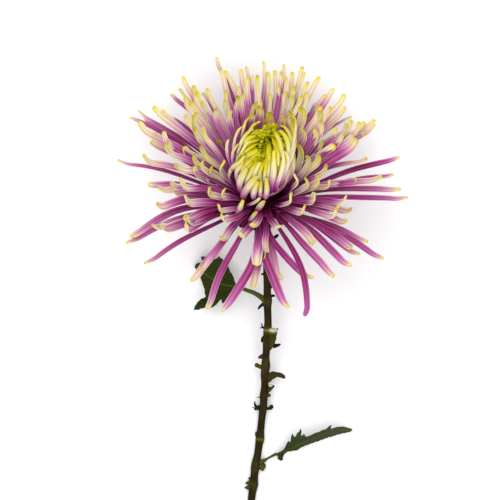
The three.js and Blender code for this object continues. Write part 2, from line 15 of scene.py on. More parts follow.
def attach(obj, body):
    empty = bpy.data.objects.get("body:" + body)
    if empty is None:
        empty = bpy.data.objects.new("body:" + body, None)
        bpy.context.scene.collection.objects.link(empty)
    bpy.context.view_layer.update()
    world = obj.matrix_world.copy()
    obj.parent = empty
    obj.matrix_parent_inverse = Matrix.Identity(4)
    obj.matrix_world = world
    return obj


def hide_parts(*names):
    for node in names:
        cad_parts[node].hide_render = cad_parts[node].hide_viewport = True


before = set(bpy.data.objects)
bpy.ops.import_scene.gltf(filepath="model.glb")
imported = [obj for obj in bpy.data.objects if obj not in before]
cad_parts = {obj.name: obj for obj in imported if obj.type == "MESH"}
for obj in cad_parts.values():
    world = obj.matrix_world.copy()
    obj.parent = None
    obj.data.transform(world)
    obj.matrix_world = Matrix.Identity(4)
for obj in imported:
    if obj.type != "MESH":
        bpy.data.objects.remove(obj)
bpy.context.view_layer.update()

# ---- Driving dimensions, the same as the solid part's ----

MM = 0.001
RECEPTACLE = np.array([-0.7, 41.1, 41.0])  # from the frame's origin
TILT = math.radians(45)  # between the bloom's axis and the vertical
LEAN = 0.07  # how far the inner florets lean to the right, over their height
GOLDEN_ANGLE = math.radians(137.508)

# How far chance moves each property of a floret to either side of its rule, in the order of the draws.
SCATTER = {
    "hook": 1.5,  # of a floret's very end to one side
    "foot": 0.5,  # along the axis
    "bow": 5,  # degrees
    "sway": 2.2,  # of the middle line to one side
    "twist": 24,  # degrees over the length
    "width": 0.15,  # share of the width
    "rise": 3,  # degrees
    "reach": 0.06,  # share of the reach
    "ballTurn": 0.35,  # share of the spacing of the ball's florets
    "ballEnd": 0.04,  # of a ball floret's tip, as a share of the ball's height
    "ballSlant": 7,  # degrees round the ball, from foot to tip
    "tone": 1,  # of a floret's colour
    "cream": 0.18,  # share that a floret's pale end is stretched by
    "roll": 0.22,  # radians that a strap's margins are rolled by
    "ripple": 1,  # phase of a strap's ripples, in half turns
    "curl": 0.3,  # share of the tip's turn
}

AXIS = np.array([0, math.sin(TILT), math.cos(TILT)])
RIGHT = np.array([1.0, 0, 0])
FAR = np.array([0, math.cos(TILT), -math.sin(TILT)])
SPINE = AXIS + LEAN * RIGHT  # the leaning middle line of the inner florets

# The ball of incurved florets, whose top closes on a crease. At each share of the way from its foot over the
# top into the crease: half its width across the crease, half its length along it, and the height on the axis.
BALL_SECTIONS = np.array([
    (0, 4.5, 4.5, 8), (0.1, 8.5, 8.5, 10), (0.25, 13.5, 13.5, 15.5), (0.4, 16, 16, 23),
    (0.5, 16.4, 16.4, 29), (0.6, 15.6, 16, 35), (0.7, 13.2, 14.8, 40.8), (0.8, 9.4, 13, 44.6),
    (0.88, 5.6, 11.5, 45.4), (0.94, 2.6, 10.3, 44), (1, 0.5, 9.2, 41),
])
FULL_TOP_ROW = 8  # of the sections: the highest, on both sides of the crease
BALL = {"middle": 27, "top": 46, "crease_turn": math.radians(15), "berth": 1.6}

# Ray florets whose tips are placed one by one, in whorls from the outside in. A tip is [right, up] of the
# receptacle as seen from straight above. rise is the slope over the bloom's plane in degrees, and lean adds
# to it on the far side. bow is how far the inner half rises over that slope, in degrees, and foot is the
# radius and height about the axis where it starts. curl is how far the tip turns up, in degrees, over
# curl_share of the length, and facing the share by which the upper side turns towards the viewer at the tip.
# stages are the colours by the distance back from the tip: the distance, and the stage on the near side and
# on the far side, or for both.
PLACED_WHORLS = [
    {
        "rise": 10, "lean": 16, "bow": 14, "foot": (8.4, 2.2), "width": 4.2, "curl": 26, "curl_share": 0.12,
        "stages": [
            (0, 0.86, 0.87), (0.8, 0.81, 0.82), (1.8, 0.68, 0.72), (3.2, 0.59, 0.66), (5.5, 0.52, 0.61),
            (9, 0.43, 0.5), (14, 0.36, 0.4), (30, 0.28, 0.3),
        ],
        "tips": [
            (-72, 22), (-65, 45), (-62, 47), (-64.5, -16), (-67, -19), (-58, -29), (-56.5, 11), (-34, -38),
            (-26, -51.5), (-19.5, -52.5), (-4, -41), (13, -51), (23.5, -54.5), (9.5, -37), (25.5, -36.5),
            (36.5, -35.5), (44.5, -30.5), (61, -26.5), (49, -24.5), (53.5, -18), (73.5, 3.5), (70, 8),
            (66.5, 15), (69.5, 24.5), (-23, 74.5), (-45.5, 56), (-55, 32.5),
        ],
    },
    {
        "rise": 20, "lean": 16, "bow": 8, "foot": (8.4, 3.8), "width": 5.0, "curl": 66, "curl_share": 0.14,
        "facing": 0.25,
        "stages": [
            (0, 0.86, 0.9), (1, 0.78, 0.84), (2.5, 0.7, 0.74), (5, 0.66, 0.7), (9, 0.56, 0.66),
            (14, 0.43, 0.6), (19, 0.34, 0.52), (27, 0.23, 0.39),
        ],
        "tips": [
            (-59, 24.5), (-61.5, 41.5), (-54, 49.5), (-53, 37), (-49, 48), (-39.5, 64.5), (-41, 58.5),
            (-34.5, 60), (-27, 59), (-19, 68.5), (-17, 68), (-10, 68.5), (-7, 70), (1.5, 72.5), (4.5, 67),
            (7, 68), (9.5, 67.5), (12, 71), (16.5, 67), (20.5, 70), (22, 67), (23, 62.5), (28.5, 65),
            (36, 59), (31.5, 56), (42.5, 55.5), (42.5, 49.5), (57, 43), (57.5, 40), (52, 42), (52, 36.5),
            (60.5, 14.5), (53, 24), (48, 13.5), (45.5, -1.5), (42.5, -8), (46, -20), (26.5, -19), (-2, -30),
            (0.5, -27), (-30, -32), (-54, -10), (-50, -10.5), (-52, 0.5), (-51.5, 9), (-45, 11), (-44, 7.5),
        ],
    },
    {
        "rise": 30, "lean": 13, "bow": 4, "foot": (8.4, 5.4), "width": 4.7, "curl": 78, "curl_share": 0.19,
        "facing": 0.4,
        "stages": [
            (0, 0.87, 0.91), (1, 0.78, 0.86), (2.5, 0.72, 0.78), (5, 0.7, 0.73), (9, 0.61, 0.68),
            (13, 0.5, 0.64), (19, 0.34, 0.54), (27, 0.18, 0.36),
        ],
        "tips": [
            (-49, 36.5), (-48, 30.5), (-46, 31), (-32, 57.5), (-33.5, 55.5), (-39, 53.5), (-35, 52.5),
            (-29.5, 52), (-18.5, 57.5), (-18.5, 52.5), (-12, 59.5), (-7, 64.5), (-4, 65.5), (-2, 65.5),
            (10, 65.5), (13.5, 64.5), (10, 60), (11.5, 57.5), (16.5, 60), (5, 56), (23.5, 56.5), (21, 55),
            (17, 55), (34.5, 50), (29.5, 50.5), (45.5, 42.5), (42.5, 41.5), (49.5, 41), (48, 34), (46, 35),
            (41.5, 35.5), (38, 38.5), (37, 30.5), (39, 1.5), (37.5, -2), (-38.5, -5), (-37, -5.5),
            (-37.5, -8.5), (-37.5, 4.5), (-39, 28.5), (-38, 45.5),
        ],
    },
]
# Inner florets, whose tips stand at a reach from the receptacle, or at a share beyond what is seen of it.
INNER_WHORLS = [
    {
        "reach": 44, "beyond": 1.1, "bow": -6, "foot": (8.2, 6.6), "width": 4.3, "curl": 80,
        "curl_share": 0.23, "facing": 0.6,
        "stages": [
            (0, 0.87, 0.92), (1, 0.79, 0.89), (2.5, 0.75, 0.84), (5, 0.72, 0.79), (8, 0.69, 0.75),
            (12, 0.63, 0.7), (17, 0.5, 0.56), (24, 0.28, 0.38),
        ],
        "tips": [
            (-34, 45), (-32.5, 46.5), (-22, 49), (-15, 47.5), (-32.5, 39.5), (-29, 39.5), (-8.5, 56),
            (0, 50), (27.5, 49.5), (29.5, 48), (21, 48.5), (19, 49.5), (29.5, 43), (27.5, 37.5), (33, 20.5),
            (29, 25.5), (28, 14.5), (26.5, 6), (21, -0.5), (8, -10.5), (3, -23), (-10.5, -13.5),
            (-21, -15.5), (-20, -4), (-31, -2.5), (-33.5, 19.5), (-33.5, 26), (-28.5, 23),
        ],
    },
    {
        "reach": 38, "beyond": 1.15, "bow": -12, "foot": (7.8, 7.6), "width": 3.9, "curl": 78,
        "curl_share": 0.25, "facing": 0.6,
        "stages": [
            (0, 0.87, 0.93), (1.2, 0.81, 0.91), (2.5, 0.77, 0.89), (5, 0.74, 0.86), (8, 0.71, 0.8),
            (12, 0.65, 0.72), (17, 0.5, 0.56), (24, 0.28, 0.34),
        ],
        "tips": [
            (-10.5, 55), (-3, 51.5), (-1.7, 41.5), (2.6, 42.5), (-3.5, 46), (4, 46.5), (11, 44.5),
            (14.5, 46.5), (20.5, 38.5), (23, 25.5), (18.5, 31), (22, 14), (16, 15.5), (14.5, 6),
            (-4.5, -9.5), (-21, 0.5), (-25.5, 9), (-18.5, 9), (-24.5, 19.5), (-18, 22),
        ],
    },
]
# Short ray florets that fill the flanks between the placed ones, aimed as those are.
FILLING_WHORL = {
    "rise": 34, "lean": 10, "bow": 2, "foot": (8.2, 6.2), "width": 3.8, "curl": 76, "curl_share": 0.22,
    "facing": 0.4,
    "stages": [
        (0, 0.87, 0.92), (1, 0.79, 0.88), (2.5, 0.75, 0.82), (5, 0.72, 0.78), (8, 0.68, 0.74),
        (12, 0.63, 0.68), (17, 0.48, 0.54), (24, 0.28, 0.36),
    ],
    "tips": [
        (1.2, 5), (-27, 14.5), (-30, 30), (-21, 33), (-13, 36), (34, 12), (31, 33), (25, 31), (-43, 21),
        (-40, 13), (43, 6),
    ],
}
# Ray florets in even fans between two azimuths in degrees, where 90 is the far side. further is how much
# longer they are there. The first droops to the surface; the others are short and fill the bloom's floor,
# under the placed ones. These stay dark purple to their tips: their own purple with painted shade from the
# placed florets over them.
FANS = [
    {
        "count": 12, "rise": -1, "lean": 4, "reach": 78, "further": 0, "bow": 10, "foot": (8.4, 1.6),
        "width": 4.6, "fan": (40, 140), "curl": 30, "curl_share": 0.12,
        "stages": [(0, 0.82), (2, 0.7), (5, 0.52), (9, 0.36), (30, 0.26)],
    },
    {
        "count": 34, "rise": 13, "lean": 6, "reach": 20.6, "further": 0.56, "bow": 10, "foot": (8.4, 3),
        "width": 3.4, "fan": (0, 360), "curl": 30, "curl_share": 0.12,
        # painted shade: dark purple from foot to tip, under the placed florets
        "stages": [(0, 0.2, 0.2), (20, 0.16, 0.14)],
    },
    {
        "count": 26, "rise": 32, "lean": 4, "reach": 20, "further": 0.3, "bow": 4, "foot": (8.4, 6),
        "width": 3.2, "fan": (5, 365), "curl": 30, "curl_share": 0.12,
        # painted shade: dark purple from foot to tip, under the placed florets
        "stages": [(0, 0.17, 0.17), (20, 0.14, 0.12)],
    },
]

# Colours of the florets whose ends are yellow for long or pale for long, as a whorl's stages.
YELLOW_END = [(0, 0.92), (5, 0.89), (8, 0.79), (14, 0.66), (22, 0.4)]
LONG_PALE_END = [
    (0, 0.88, 0.9), (3, 0.8, 0.84), (9, 0.72, 0.77), (18, 0.62, 0.68), (28, 0.45, 0.52), (45, 0.2, 0.3),
]
# What sets single florets apart, by their tips: sway is how far the middle line strays anticlockwise, breadth
# the width over the whorl's, side_hook how far the very end strays anticlockwise, and curl and stages are as
# a whorl's.
SINGLE_FLORETS = {
    (-19.5, -52.5): {"sway": 7},
    (13, -51): {"sway": -5.5, "breadth": 1.2, "stages": [(0, 0.85), (1, 0.76), (2.5, 0.62), (6, 0.44),
        (12, 0.35), (30, 0.26)]},
    (-64.5, -16): {"sway": -5, "breadth": 1.6},
    (-67, -19): {"sway": 0, "breadth": 1.15},
    (23.5, -54.5): {"sway": 4, "breadth": 0.84, "side_hook": -2, "stages": [(0, 0.38), (30, 0.22)]},
    (-4, -41): {"sway": 2, "breadth": 1.25, "side_hook": 0, "stages": [(0, 0.85), (1, 0.77), (2, 0.7),
        (9, 0.66), (15, 0.54), (22, 0.4)]},
    (-26, -51.5): {"sway": -0.8},
    (25.5, -36.5): {"sway": -8.5, "breadth": 0.95, "stages": [(0, 0.82), (2, 0.7), (6, 0.55), (12, 0.34),
        (30, 0.22)]},
    (9.5, -37): {"stages": [(0, 0.8), (1.5, 0.7), (6, 0.6), (13, 0.5), (22, 0.42)]},
    (-34, -38): {"sway": 0, "stages": [(0, 0.85), (1, 0.77), (2.5, 0.69), (8, 0.64), (13, 0.53), (22, 0.4)]},
    (-30, -32): {"sway": -0.9, "breadth": 0.55},
    (8, -10.5): {"curl": 30, "side_hook": 2.5, "stages": [(0, 0.87), (1.5, 0.78), (4, 0.72), (9, 0.68),
        (14, 0.6), (20, 0.42), (28, 0.2)]},
    (-4.5, -9.5): {"curl": 30, "side_hook": 2},
    (-2, -30): {"sway": 0, "breadth": 1.3, "curl": 18, "side_hook": 0},
    (0.5, -27): {"sway": 0, "breadth": 1.1, "curl": 18, "side_hook": 0},
    (3, -23): {"sway": 0, "breadth": 0.8, "curl": 24, "side_hook": 0},
    (4, 46.5): {"breadth": 1.35, "stages": YELLOW_END},
    (11, 44.5): {"breadth": 1.4, "stages": YELLOW_END},
    (0, 50): {"breadth": 1.3, "stages": YELLOW_END},
    (37, 30.5): {"breadth": 1.1, "curl": 24},
    (28, 14.5): {"breadth": 1.25, "stages": LONG_PALE_END},
    (20.5, 38.5): {"breadth": 1.2, "stages": LONG_PALE_END},
    (18.5, 31): {"breadth": 1.2, "stages": LONG_PALE_END},
    (21, -0.5): {"breadth": 1.05, "curl": 45, "side_hook": 1.5},
}
# Florets that only their breadth, or only their long pale end, sets apart.
BROAD_FLORETS = {
    (-3.5, 46): 1.2, (48, 34): 1.25, (-39, 28.5): 1.3, (26.5, 6): 1.2, (45.5, -1.5): 1.2, (-37, -5.5): 1.2,
    (-37.5, -8.5): 1.3, (-50, -10.5): 1.2, (-55, 32.5): 1.4,
}
PALE_FLORETS = [
    (23, 25.5), (22, 14), (31, 33), (-29, 39.5), (-21, 33), (-13, 36), (-24.5, 19.5), (-18, 22), (-30, 30),
]
for tip, breadth in BROAD_FLORETS.items():
    SINGLE_FLORETS[tip] = {"breadth": breadth}
for tip in PALE_FLORETS:
    SINGLE_FLORETS[tip] = {"stages": LONG_PALE_END}


def outward(phi):
    return RIGHT * math.cos(phi) + FAR * math.sin(phi)


def around(phi):
    return np.cross(AXIS, outward(phi))


def about_axis(phi, radius, height):
    """A point at a radius and a height about the bloom's axis."""
    return outward(phi) * radius + SPINE * height


DRAW = (12.9898, 78.233, 43758.5453)  # irregular numbers, which spread the draws evenly


def scatter(i, name):
    """A repeatable draw for one property of the i-th piece, within its scatter to either side of 0."""
    by_piece, by_name, by_wave = DRAW
    wave = math.sin(i * by_piece + list(SCATTER).index(name) * by_name) * by_wave
    return SCATTER[name] * (2 * (wave - math.floor(wave)) - 1)


def unit(vectors):
    return vectors / np.linalg.norm(vectors, axis=-1, keepdims=True)


def along_line(points):
    """Unit directions along a line of points."""
    return unit(np.gradient(points, axis=0))


SMOOTH_STEPS = 101  # places that a smoothed table is worked out at
SMOOTH_WINDOW = 9  # how many of them each is smoothed over


def interpolate(shares, pairs):
    """Values at shares, smoothly between (share, value) pairs."""
    xs, ys = zip(*pairs)
    fine = np.linspace(xs[0], xs[-1], SMOOTH_STEPS)
    window = np.hanning(SMOOTH_WINDOW) / np.hanning(SMOOTH_WINDOW).sum()
    padded = np.pad(np.interp(fine, xs, ys), SMOOTH_WINDOW // 2, mode="reflect", reflect_type="odd")
    return np.interp(shares, fine, np.convolve(padded, window, mode="valid"))


def between(shares, pairs):
    """Values at shares, straight between (share, value) pairs."""
    return np.interp(shares, *zip(*pairs))


def smooth_line(points, shares):
    """A uniform Catmull-Rom line through points, at shares of its length in points."""
    points = np.asarray(points, float)
    padded = np.concatenate([[2 * points[0] - points[1]], points, [2 * points[-1] - points[-2]]])
    place = np.clip(shares, 0, 1) * (len(points) - 1)
    first = np.minimum(place.astype(int), len(points) - 2)
    t = (place - first)[:, None]
    before, here, ahead, beyond = (padded[first + k] for k in range(4))
    start, end = (ahead - before) / 2, (beyond - here) / 2
    return (
        here * (2 * t**3 - 3 * t**2 + 1) + start * (t**3 - 2 * t**2 + t)
        + ahead * (3 * t**2 - 2 * t**3) + end * (t**3 - t**2)
    )


def table(columns, *rows):
    """A dictionary for each row of a table, by its columns' names; a row may leave out the last ones."""
    return [dict(zip(columns.split(), row)) for row in rows]


# ---- Meshes ----


def closed_tube(rings):
    """Vertices and faces of a closed body through rings of equal count, capped by fans."""
    rings = np.asarray(rings)
    count, sides = rings.shape[:2]
    ids = np.arange(count * sides).reshape(count, sides)
    here, ahead = ids[:-1], ids[1:]
    quads = np.stack([here, np.roll(here, -1, 1), np.roll(ahead, -1, 1), ahead], -1).reshape(-1, 4)
    caps = [list(ids[0][::-1]), list(ids[-1])]
    return rings.reshape(-1, 3), quads.tolist() + caps


PLAIN = (0.5, 0.5, 0.2)  # the place across, tone and share of the length of a body that has none


def ringed_body(rings, stages):
    """A closed body through rings, with a colour stage for each ring."""
    vertices, faces = closed_tube(rings)
    return vertices, faces, np.array([(stage, *PLAIN) for stage in stages for _ in rings[0]])


def turned_body(profile, sides):
    """A closed body of revolution about the bloom's axis through (radius, height) rings, dark as a foot."""
    angles = 2 * math.pi * np.arange(sides) / sides
    rings = [[about_axis(phi, radius, height) for phi in angles] for radius, height in profile]
    return ringed_body(rings, [0] * len(profile))


def make_piece(name, bodies, material, replaced):
    """One smooth mesh from bodies of (vertices, faces, vertices' colour coordinates), riding on the root."""
    vertices, faces, coordinates, start = [], [], [], 0
    for points, body_faces, values in bodies:
        vertices.append(points)
        coordinates.append(values)
        faces += [[start + i for i in face] for face in body_faces]
        start += len(points)
    mesh = bpy.data.meshes.new(name)
    places = np.concatenate(vertices) + RECEPTACLE
    places[:, 2] = np.maximum(places[:, 2], 0)
    mesh.from_pydata((places * MM).tolist(), [], faces)
    attribute = mesh.attributes.new("petal", "FLOAT_COLOR", "POINT")
    attribute.data.foreach_set("color", np.concatenate(coordinates).astype(np.float32).ravel())
    mesh.shade_smooth()
    mesh.materials.append(material)
    piece = bpy.data.objects.new(name, mesh)
    bpy.context.scene.collection.objects.link(piece)
    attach(piece, "root")
    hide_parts(replaced)


# A strap's rings stand closer together at its tip, and its section is a shallow channel with two grooves.
STRAP_SHARES = np.concatenate([np.linspace(0, 0.78, 12), np.linspace(0.8, 0.94, 8), [0.965, 0.985, 0.995, 1]])
STRAP_ACROSS = np.linspace(-1, 1, 9)
STRAP_UNDER = np.array([0.9, 0.45, 0, -0.45, -0.9])
TIP_ROUND_FROM = 0.978  # share of the length where a strap's end begins to round off
TIP_ROUND_TO = 0.97  # share of that round end that is there, short of closing on a point
RIB = 0.11  # height of the ribs between the grooves
THICKNESS = 0.42
MARGIN_THINNER = 0.6  # share by which the margins are thinner than the middle
THINNER_UNDER = 0.3  # share of the greatest width under which a strap is thinner all over


def strap(line, shares, normals, width, roll, coordinates, rib=RIB, thickness=THICKNESS):
    """A thin channelled strap along a line, whose upper side faces along the normals.

    width and roll are given at each ring; a negative roll turns the margins down. coordinates gives the
    colour coordinates of a ring's vertices from the ring's number and the places across.
    """
    along = along_line(line)
    normals = unit(normals - along * (normals * along).sum(-1, keepdims=True))
    sides = np.cross(along, normals)
    end = np.clip((shares - TIP_ROUND_FROM) / (1 - TIP_ROUND_FROM), 0, TIP_ROUND_TO)
    half = width / 2 * np.sqrt(1 - end**2)
    places = np.concatenate([STRAP_ACROSS, STRAP_UNDER])
    is_under = np.arange(len(places)) >= len(STRAP_ACROSS)
    angle = places[None, :] * np.abs(roll)[:, None]
    turn = np.sign(roll)[:, None]
    x = np.sin(angle) / np.abs(roll)[:, None] * half[:, None]
    y = turn * (1 - np.cos(angle)) / np.abs(roll)[:, None] * half[:, None]
    ridge = rib * np.cos(2 * math.pi * places)[None, :] * (half / half.max())[:, None]
    depth = thickness * (1 - MARGIN_THINNER * places**2)[None, :]
    depth = depth * np.minimum(1, half / (THINNER_UNDER * half.max()))[:, None]
    lift = np.where(is_under[None, :], -depth, ridge)
    x = x - np.sin(angle) * turn * lift
    y = y + np.cos(angle) * lift
    rings = line[:, None, :] + sides[:, None, :] * x[..., None] + normals[:, None, :] * y[..., None]
    vertices, faces = closed_tube(rings)
    return vertices, faces, np.concatenate([coordinates(i, places, is_under) for i in range(len(line))])


# ---- Ray florets ----

SURFACE_REST = 0.2  # how high the middle line of a pressed floret lies
SURFACE_SOFTNESS = 1.6  # how high over the surface a floret begins to bend along it
WANDER = 0.8  # how far a floret's middle line strays from its bow, to both sides
# Along a floret: its width over its widest, and the angle that each half is rolled by, in radians.
WIDTH_ALONG = [
    (0, 0.42), (0.2, 0.6), (0.45, 0.88), (0.68, 1), (0.84, 0.96), (0.92, 0.9), (0.97, 0.84), (1, 0.78),
]
ROLL_ALONG = [(0, 1.25), (0.3, 0.8), (0.7, 0.6), (0.9, 0.66), (1, 0.9)]
HOOK_BENT_BY = 0.75  # share of a floret's curled end that bends, before the rest goes on straight
HOOKED_FROM = 0.9  # share of the length from which the very end strays to one side
FAR_STRAIGHTER = 0.8  # how much less a floret's tip curls on the far side
FAR_NARROWER = 0.34  # how much narrower a floret on the far side is
FAR_TAPER = 0.24  # and how much narrower again at its tip
TAPERED_FROM = 0.65  # share of the length from which it tapers so
MOST_EDGE_ON = 0.1  # the least height of an upper side's unit normal, where it turns towards the viewer
# The furthest in its colours that a floret is, along it: its own purple foot, darkened further with
# painted shade where the florets crowd at the centre.
FOOT_COLOURS_AND_SHADE = [(0, 0.08), (0.12, 0.15), (0.3, 0.24), (0.44, 0.42), (0.62, 1)]
FLANK_FARNESS = 0.4  # how far a floret on the bloom's flank has the far side's colours
FARNESS_PACE = 0.8  # and how fast that grows towards the far side
PALE_SCATTER = 1.5  # how far chance stretches the pale end of a floret, over its scatter
FAR_PALE_SCATTER = 2.2  # and how much further on the far side
UNDER_PALER = 0.03  # how much further in its colours the under side of a floret is
MARGIN_PAINTED_SHADE = 0.4  # painted shade: how much further in them, to a deeper gold, the margins would be at a spread of 0
MARGIN_PAINTED_SHADE_MOST = 0.9  # the furthest that they get so


def aim(tip, rise):
    """The azimuth and reach of a floret of a given rise, whose tip is seen at (x, y) from straight above."""
    x, y = tip
    flat = math.cos(rise) * math.cos(TILT)
    lift = math.sin(rise) * math.sin(TILT)
    spread = y * y + (math.cos(TILT) * x) ** 2
    square = lift * lift - flat * flat
    reach = (lift * y - math.sqrt((lift * y) ** 2 - square * spread)) / square
    return math.atan2((y - lift * reach) / math.cos(TILT), x), reach


def placed_florets(whorls):
    florets = []
    for whorl in whorls:
        for tip in whorl["tips"]:
            rise = math.radians(whorl["rise"] + whorl["lean"] * tip[1] / math.hypot(*tip))
            phi, reach = aim(tip, rise)
            own = SINGLE_FLORETS.get(tip, {})
            florets.append({**whorl, "phi": phi, "reach": reach, "rise": rise, **own})
    return florets


def inner_florets():
    florets = []
    for whorl in INNER_WHORLS:
        for x, y in whorl["tips"]:
            reach = max(whorl["reach"], whorl["beyond"] * math.hypot(x, y))
            tip = np.array([x, y, math.sqrt(reach**2 - x * x - y * y)])
            rise = math.asin(tip @ AXIS / reach)
            own = SINGLE_FLORETS.get((x, y), {})
            florets.append({**whorl, "phi": math.atan2(tip @ FAR, x), "reach": reach, "rise": rise, **own})
    return florets


def fanned_florets(fan):
    florets = []
    start, end = fan["fan"]
    for i in range(fan["count"]):
        phi = math.radians(start + (end - start) * (i + 0.5) / fan["count"])
        rise = math.radians(fan["rise"] + fan["lean"] * math.sin(phi) + scatter(i, "rise"))
        reach = fan["reach"] * (1 + scatter(i, "reach") + fan["further"] * max(0, math.sin(phi)))
        florets.append({**fan, "phi": phi, "reach": reach, "rise": rise})
    return florets


def clear_of_ball(points):
    """Points inside the ball's space, moved out to its surface."""
    height = points @ AXIS
    radial = points - SPINE * height[:, None]
    sections = BALL_SECTIONS[: FULL_TOP_ROW + 1]
    least = np.interp(height, sections[:, 3], sections[:, 2], left=0) + BALL["berth"]
    least = np.where((height < sections[0, 3]) | (height > BALL["top"]), 0, least)
    push = np.maximum(1, least / np.linalg.norm(radial, axis=1))
    return radial * push[:, None] + SPINE * height[:, None]


def over_surface(points):
    """Points that would lie under the surface, bent softly to lie along it."""
    over = points[:, 2] + RECEPTACLE[2] - SURFACE_REST
    points[:, 2] += (np.hypot(over, SURFACE_SOFTNESS) - over) / 2
    return points


def curled_end(floret, seed, shares, length):
    """How far the end of a floret goes onward and up at shares of its length, by its curl, and its angle."""
    curl = floret["curl"] * (1 - FAR_STRAIGHTER * (1 + math.sin(floret["phi"])) / 2)
    turn = math.radians(curl * (1 + scatter(seed, "curl")))
    past = np.maximum(0, shares - (1 - floret["curl_share"]))[:, None] * length
    arc = HOOK_BENT_BY * floret["curl_share"] * length
    angle = turn * np.minimum(1, past / arc)
    straight = np.maximum(0, past - arc)
    onward = arc / turn * np.sin(angle) + straight * math.cos(turn)
    upward = arc / turn * (1 - np.cos(angle)) + straight * math.sin(turn)
    return onward, upward, angle


def floret_line(floret, seed, shares):
    """A bowed line from foot to tip that strays aside and curls up at its end, and its upper side's way."""
    out = outward(floret["phi"])

    def slope(angle):
        return out * math.cos(angle) + AXIS * math.sin(angle)

    upper = slope(floret["rise"] + math.pi / 2)
    foot = about_axis(floret["phi"], floret["foot"][0], floret["foot"][1] + scatter(seed, "foot"))
    tip = slope(floret["rise"]) * floret["reach"]
    bow = math.radians(floret["bow"] + scatter(seed, "bow"))
    length = np.linalg.norm(tip - foot)
    knee = foot + slope(floret["rise"] + bow) * 0.5 * length
    onward, upward, angle = curled_end(floret, seed, shares, length)
    bend = tip
    for _ in range(3):
        ahead = unit(bend - knee)
        lift = unit(upper - ahead * (upper @ ahead))
        bend = tip - ahead * onward[-1] - lift * upward[-1]
    t = np.minimum(1, shares / (1 - floret["curl_share"]))[:, None]
    points = foot * (1 - t) ** 2 + knee * 2 * t * (1 - t) + bend * t * t
    points = points + ahead * onward + lift * upward
    t = shares[:, None]
    stray = WANDER * np.sin(2 * math.pi * t + math.pi * scatter(seed, "ripple"))
    sway = floret.get("sway", scatter(seed, "sway"))
    hook = floret.get("side_hook", scatter(seed, "hook"))
    hook = hook * np.maximum(0, (t - HOOKED_FROM) / (1 - HOOKED_FROM)) ** 2
    points = points + around(floret["phi"]) * ((sway + stray) * 4 * t * (1 - t) + hook)
    upper = lift * np.cos(angle) - ahead * np.sin(angle)
    return over_surface(clear_of_ball(points)), upper


def petal_coordinates(stages, shares, seed, spread=1.0):
    """The colour coordinates of a floret's rings: stage, place across, tone and share of the length.

    A spread of less than 1 keeps the pale margin and its painted highlight off a floret's margins, and
    makes them further in their colours, a deeper gold that is painted shade.
    """
    tone = 0.5 + 0.5 * scatter(seed, "tone")

    def coordinates(i, places, is_under):
        # painted shade: the margins of the ball's rolled florets go a deeper gold, as the valleys between
        # them would in shade
        margin_shade = max(0, min(MARGIN_PAINTED_SHADE * (1 - spread), MARGIN_PAINTED_SHADE_MOST - stages[i]))
        stage = stages[i] + UNDER_PALER * is_under + margin_shade * places**2
        return np.stack(np.broadcast_arrays(stage, 0.5 + 0.5 * spread * places, tone, shares[i]), -1)

    return coordinates


def floret_stages(floret, shares, seed):
    """The colour stage at each ring, by the distance back from the tip, and darker towards the foot, partly
    as painted shade.
    """
    farness = min(1, max(0, FLANK_FARNESS + FARNESS_PACE * math.sin(floret["phi"])))
    stretch = 1 + (PALE_SCATTER + FAR_PALE_SCATTER * farness) * scatter(seed, "cream")
    back = (1 - shares) * floret["reach"] / stretch
    distances, *sides = zip(*floret["stages"])
    near_side, far_side = np.interp(back, distances, sides[0]), np.interp(back, distances, sides[-1])
    # the foot's own purple is deepened here with painted shade
    return np.minimum(near_side * (1 - farness) + far_side * farness, between(shares, FOOT_COLOURS_AND_SHADE))


def floret_body(floret, seed):
    shares = STRAP_SHARES
    line, upper = floret_line(floret, seed, shares)
    twist = math.radians(scatter(seed, "twist"))
    side = around(floret["phi"])
    toward_viewer = math.atan2(side[2], max(MOST_EDGE_ON, upper[len(shares) // 2, 2]))
    turn = (twist + floret.get("facing", 0) * toward_viewer) * shares[:, None]
    normals = upper * np.cos(turn) + side * np.sin(turn)
    farness = max(0, math.sin(floret["phi"]))
    widest = floret["width"] * floret.get("breadth", 1 + scatter(seed, "width") - FAR_NARROWER * farness)
    taper = FAR_TAPER * farness * np.maximum(0, (shares - TAPERED_FROM) / (1 - TAPERED_FROM))
    width = widest * interpolate(shares, WIDTH_ALONG) * (1 - taper)
    roll = scatter(seed, "roll") + interpolate(shares, ROLL_ALONG)
    stages = floret_stages(floret, shares, seed)
    return strap(line, shares, normals, width, roll, petal_coordinates(stages, shares, seed))


# ---- The ball of incurved florets ----

# Whorls of the ball from the outside in: from and to are shares of the way from the foot into the crease,
# layer the size over the ball's, turn the degrees that the whorl is turned by, flare how far the tips stand
# off, as a share of the ball, and own how far a floret's colours follow its own length. A floret is there
# where the sine of its azimuth is over least_sine.
BALL_WHORLS = table(
    "count from to layer width turn flare own least_sine",
    (17, 0.05, 0.36, 1.05, 3.8, 4, 0.06, 0.6, 0.35),
    (16, 0.08, 0.56, 1.0, 4.6, 15, 0.04, 0.35, 0.3),
    (15, 0.12, 0.72, 0.965, 4.8, 3, 0.03, 0.2, 0.2),
    (15, 0.2, 0.84, 0.94, 4.8, 14, 0.0, 0.1, -2),
    (15, 0.3, 0.92, 0.9, 4.4, 2, 0.0, 0.0, -2),
    (14, 0.42, 0.97, 0.86, 3.8, 17, 0.0, 0.0, -2),
)
BALL_WIDTH_ALONG = [(0, 0.45), (0.25, 0.8), (0.55, 1), (0.8, 0.82), (0.93, 0.5), (1, 0.34)]
BALL_DEPTH_ALONG = [(0, 0.72), (0.2, 0.93), (0.5, 1), (0.8, 1), (1, 0.98)]
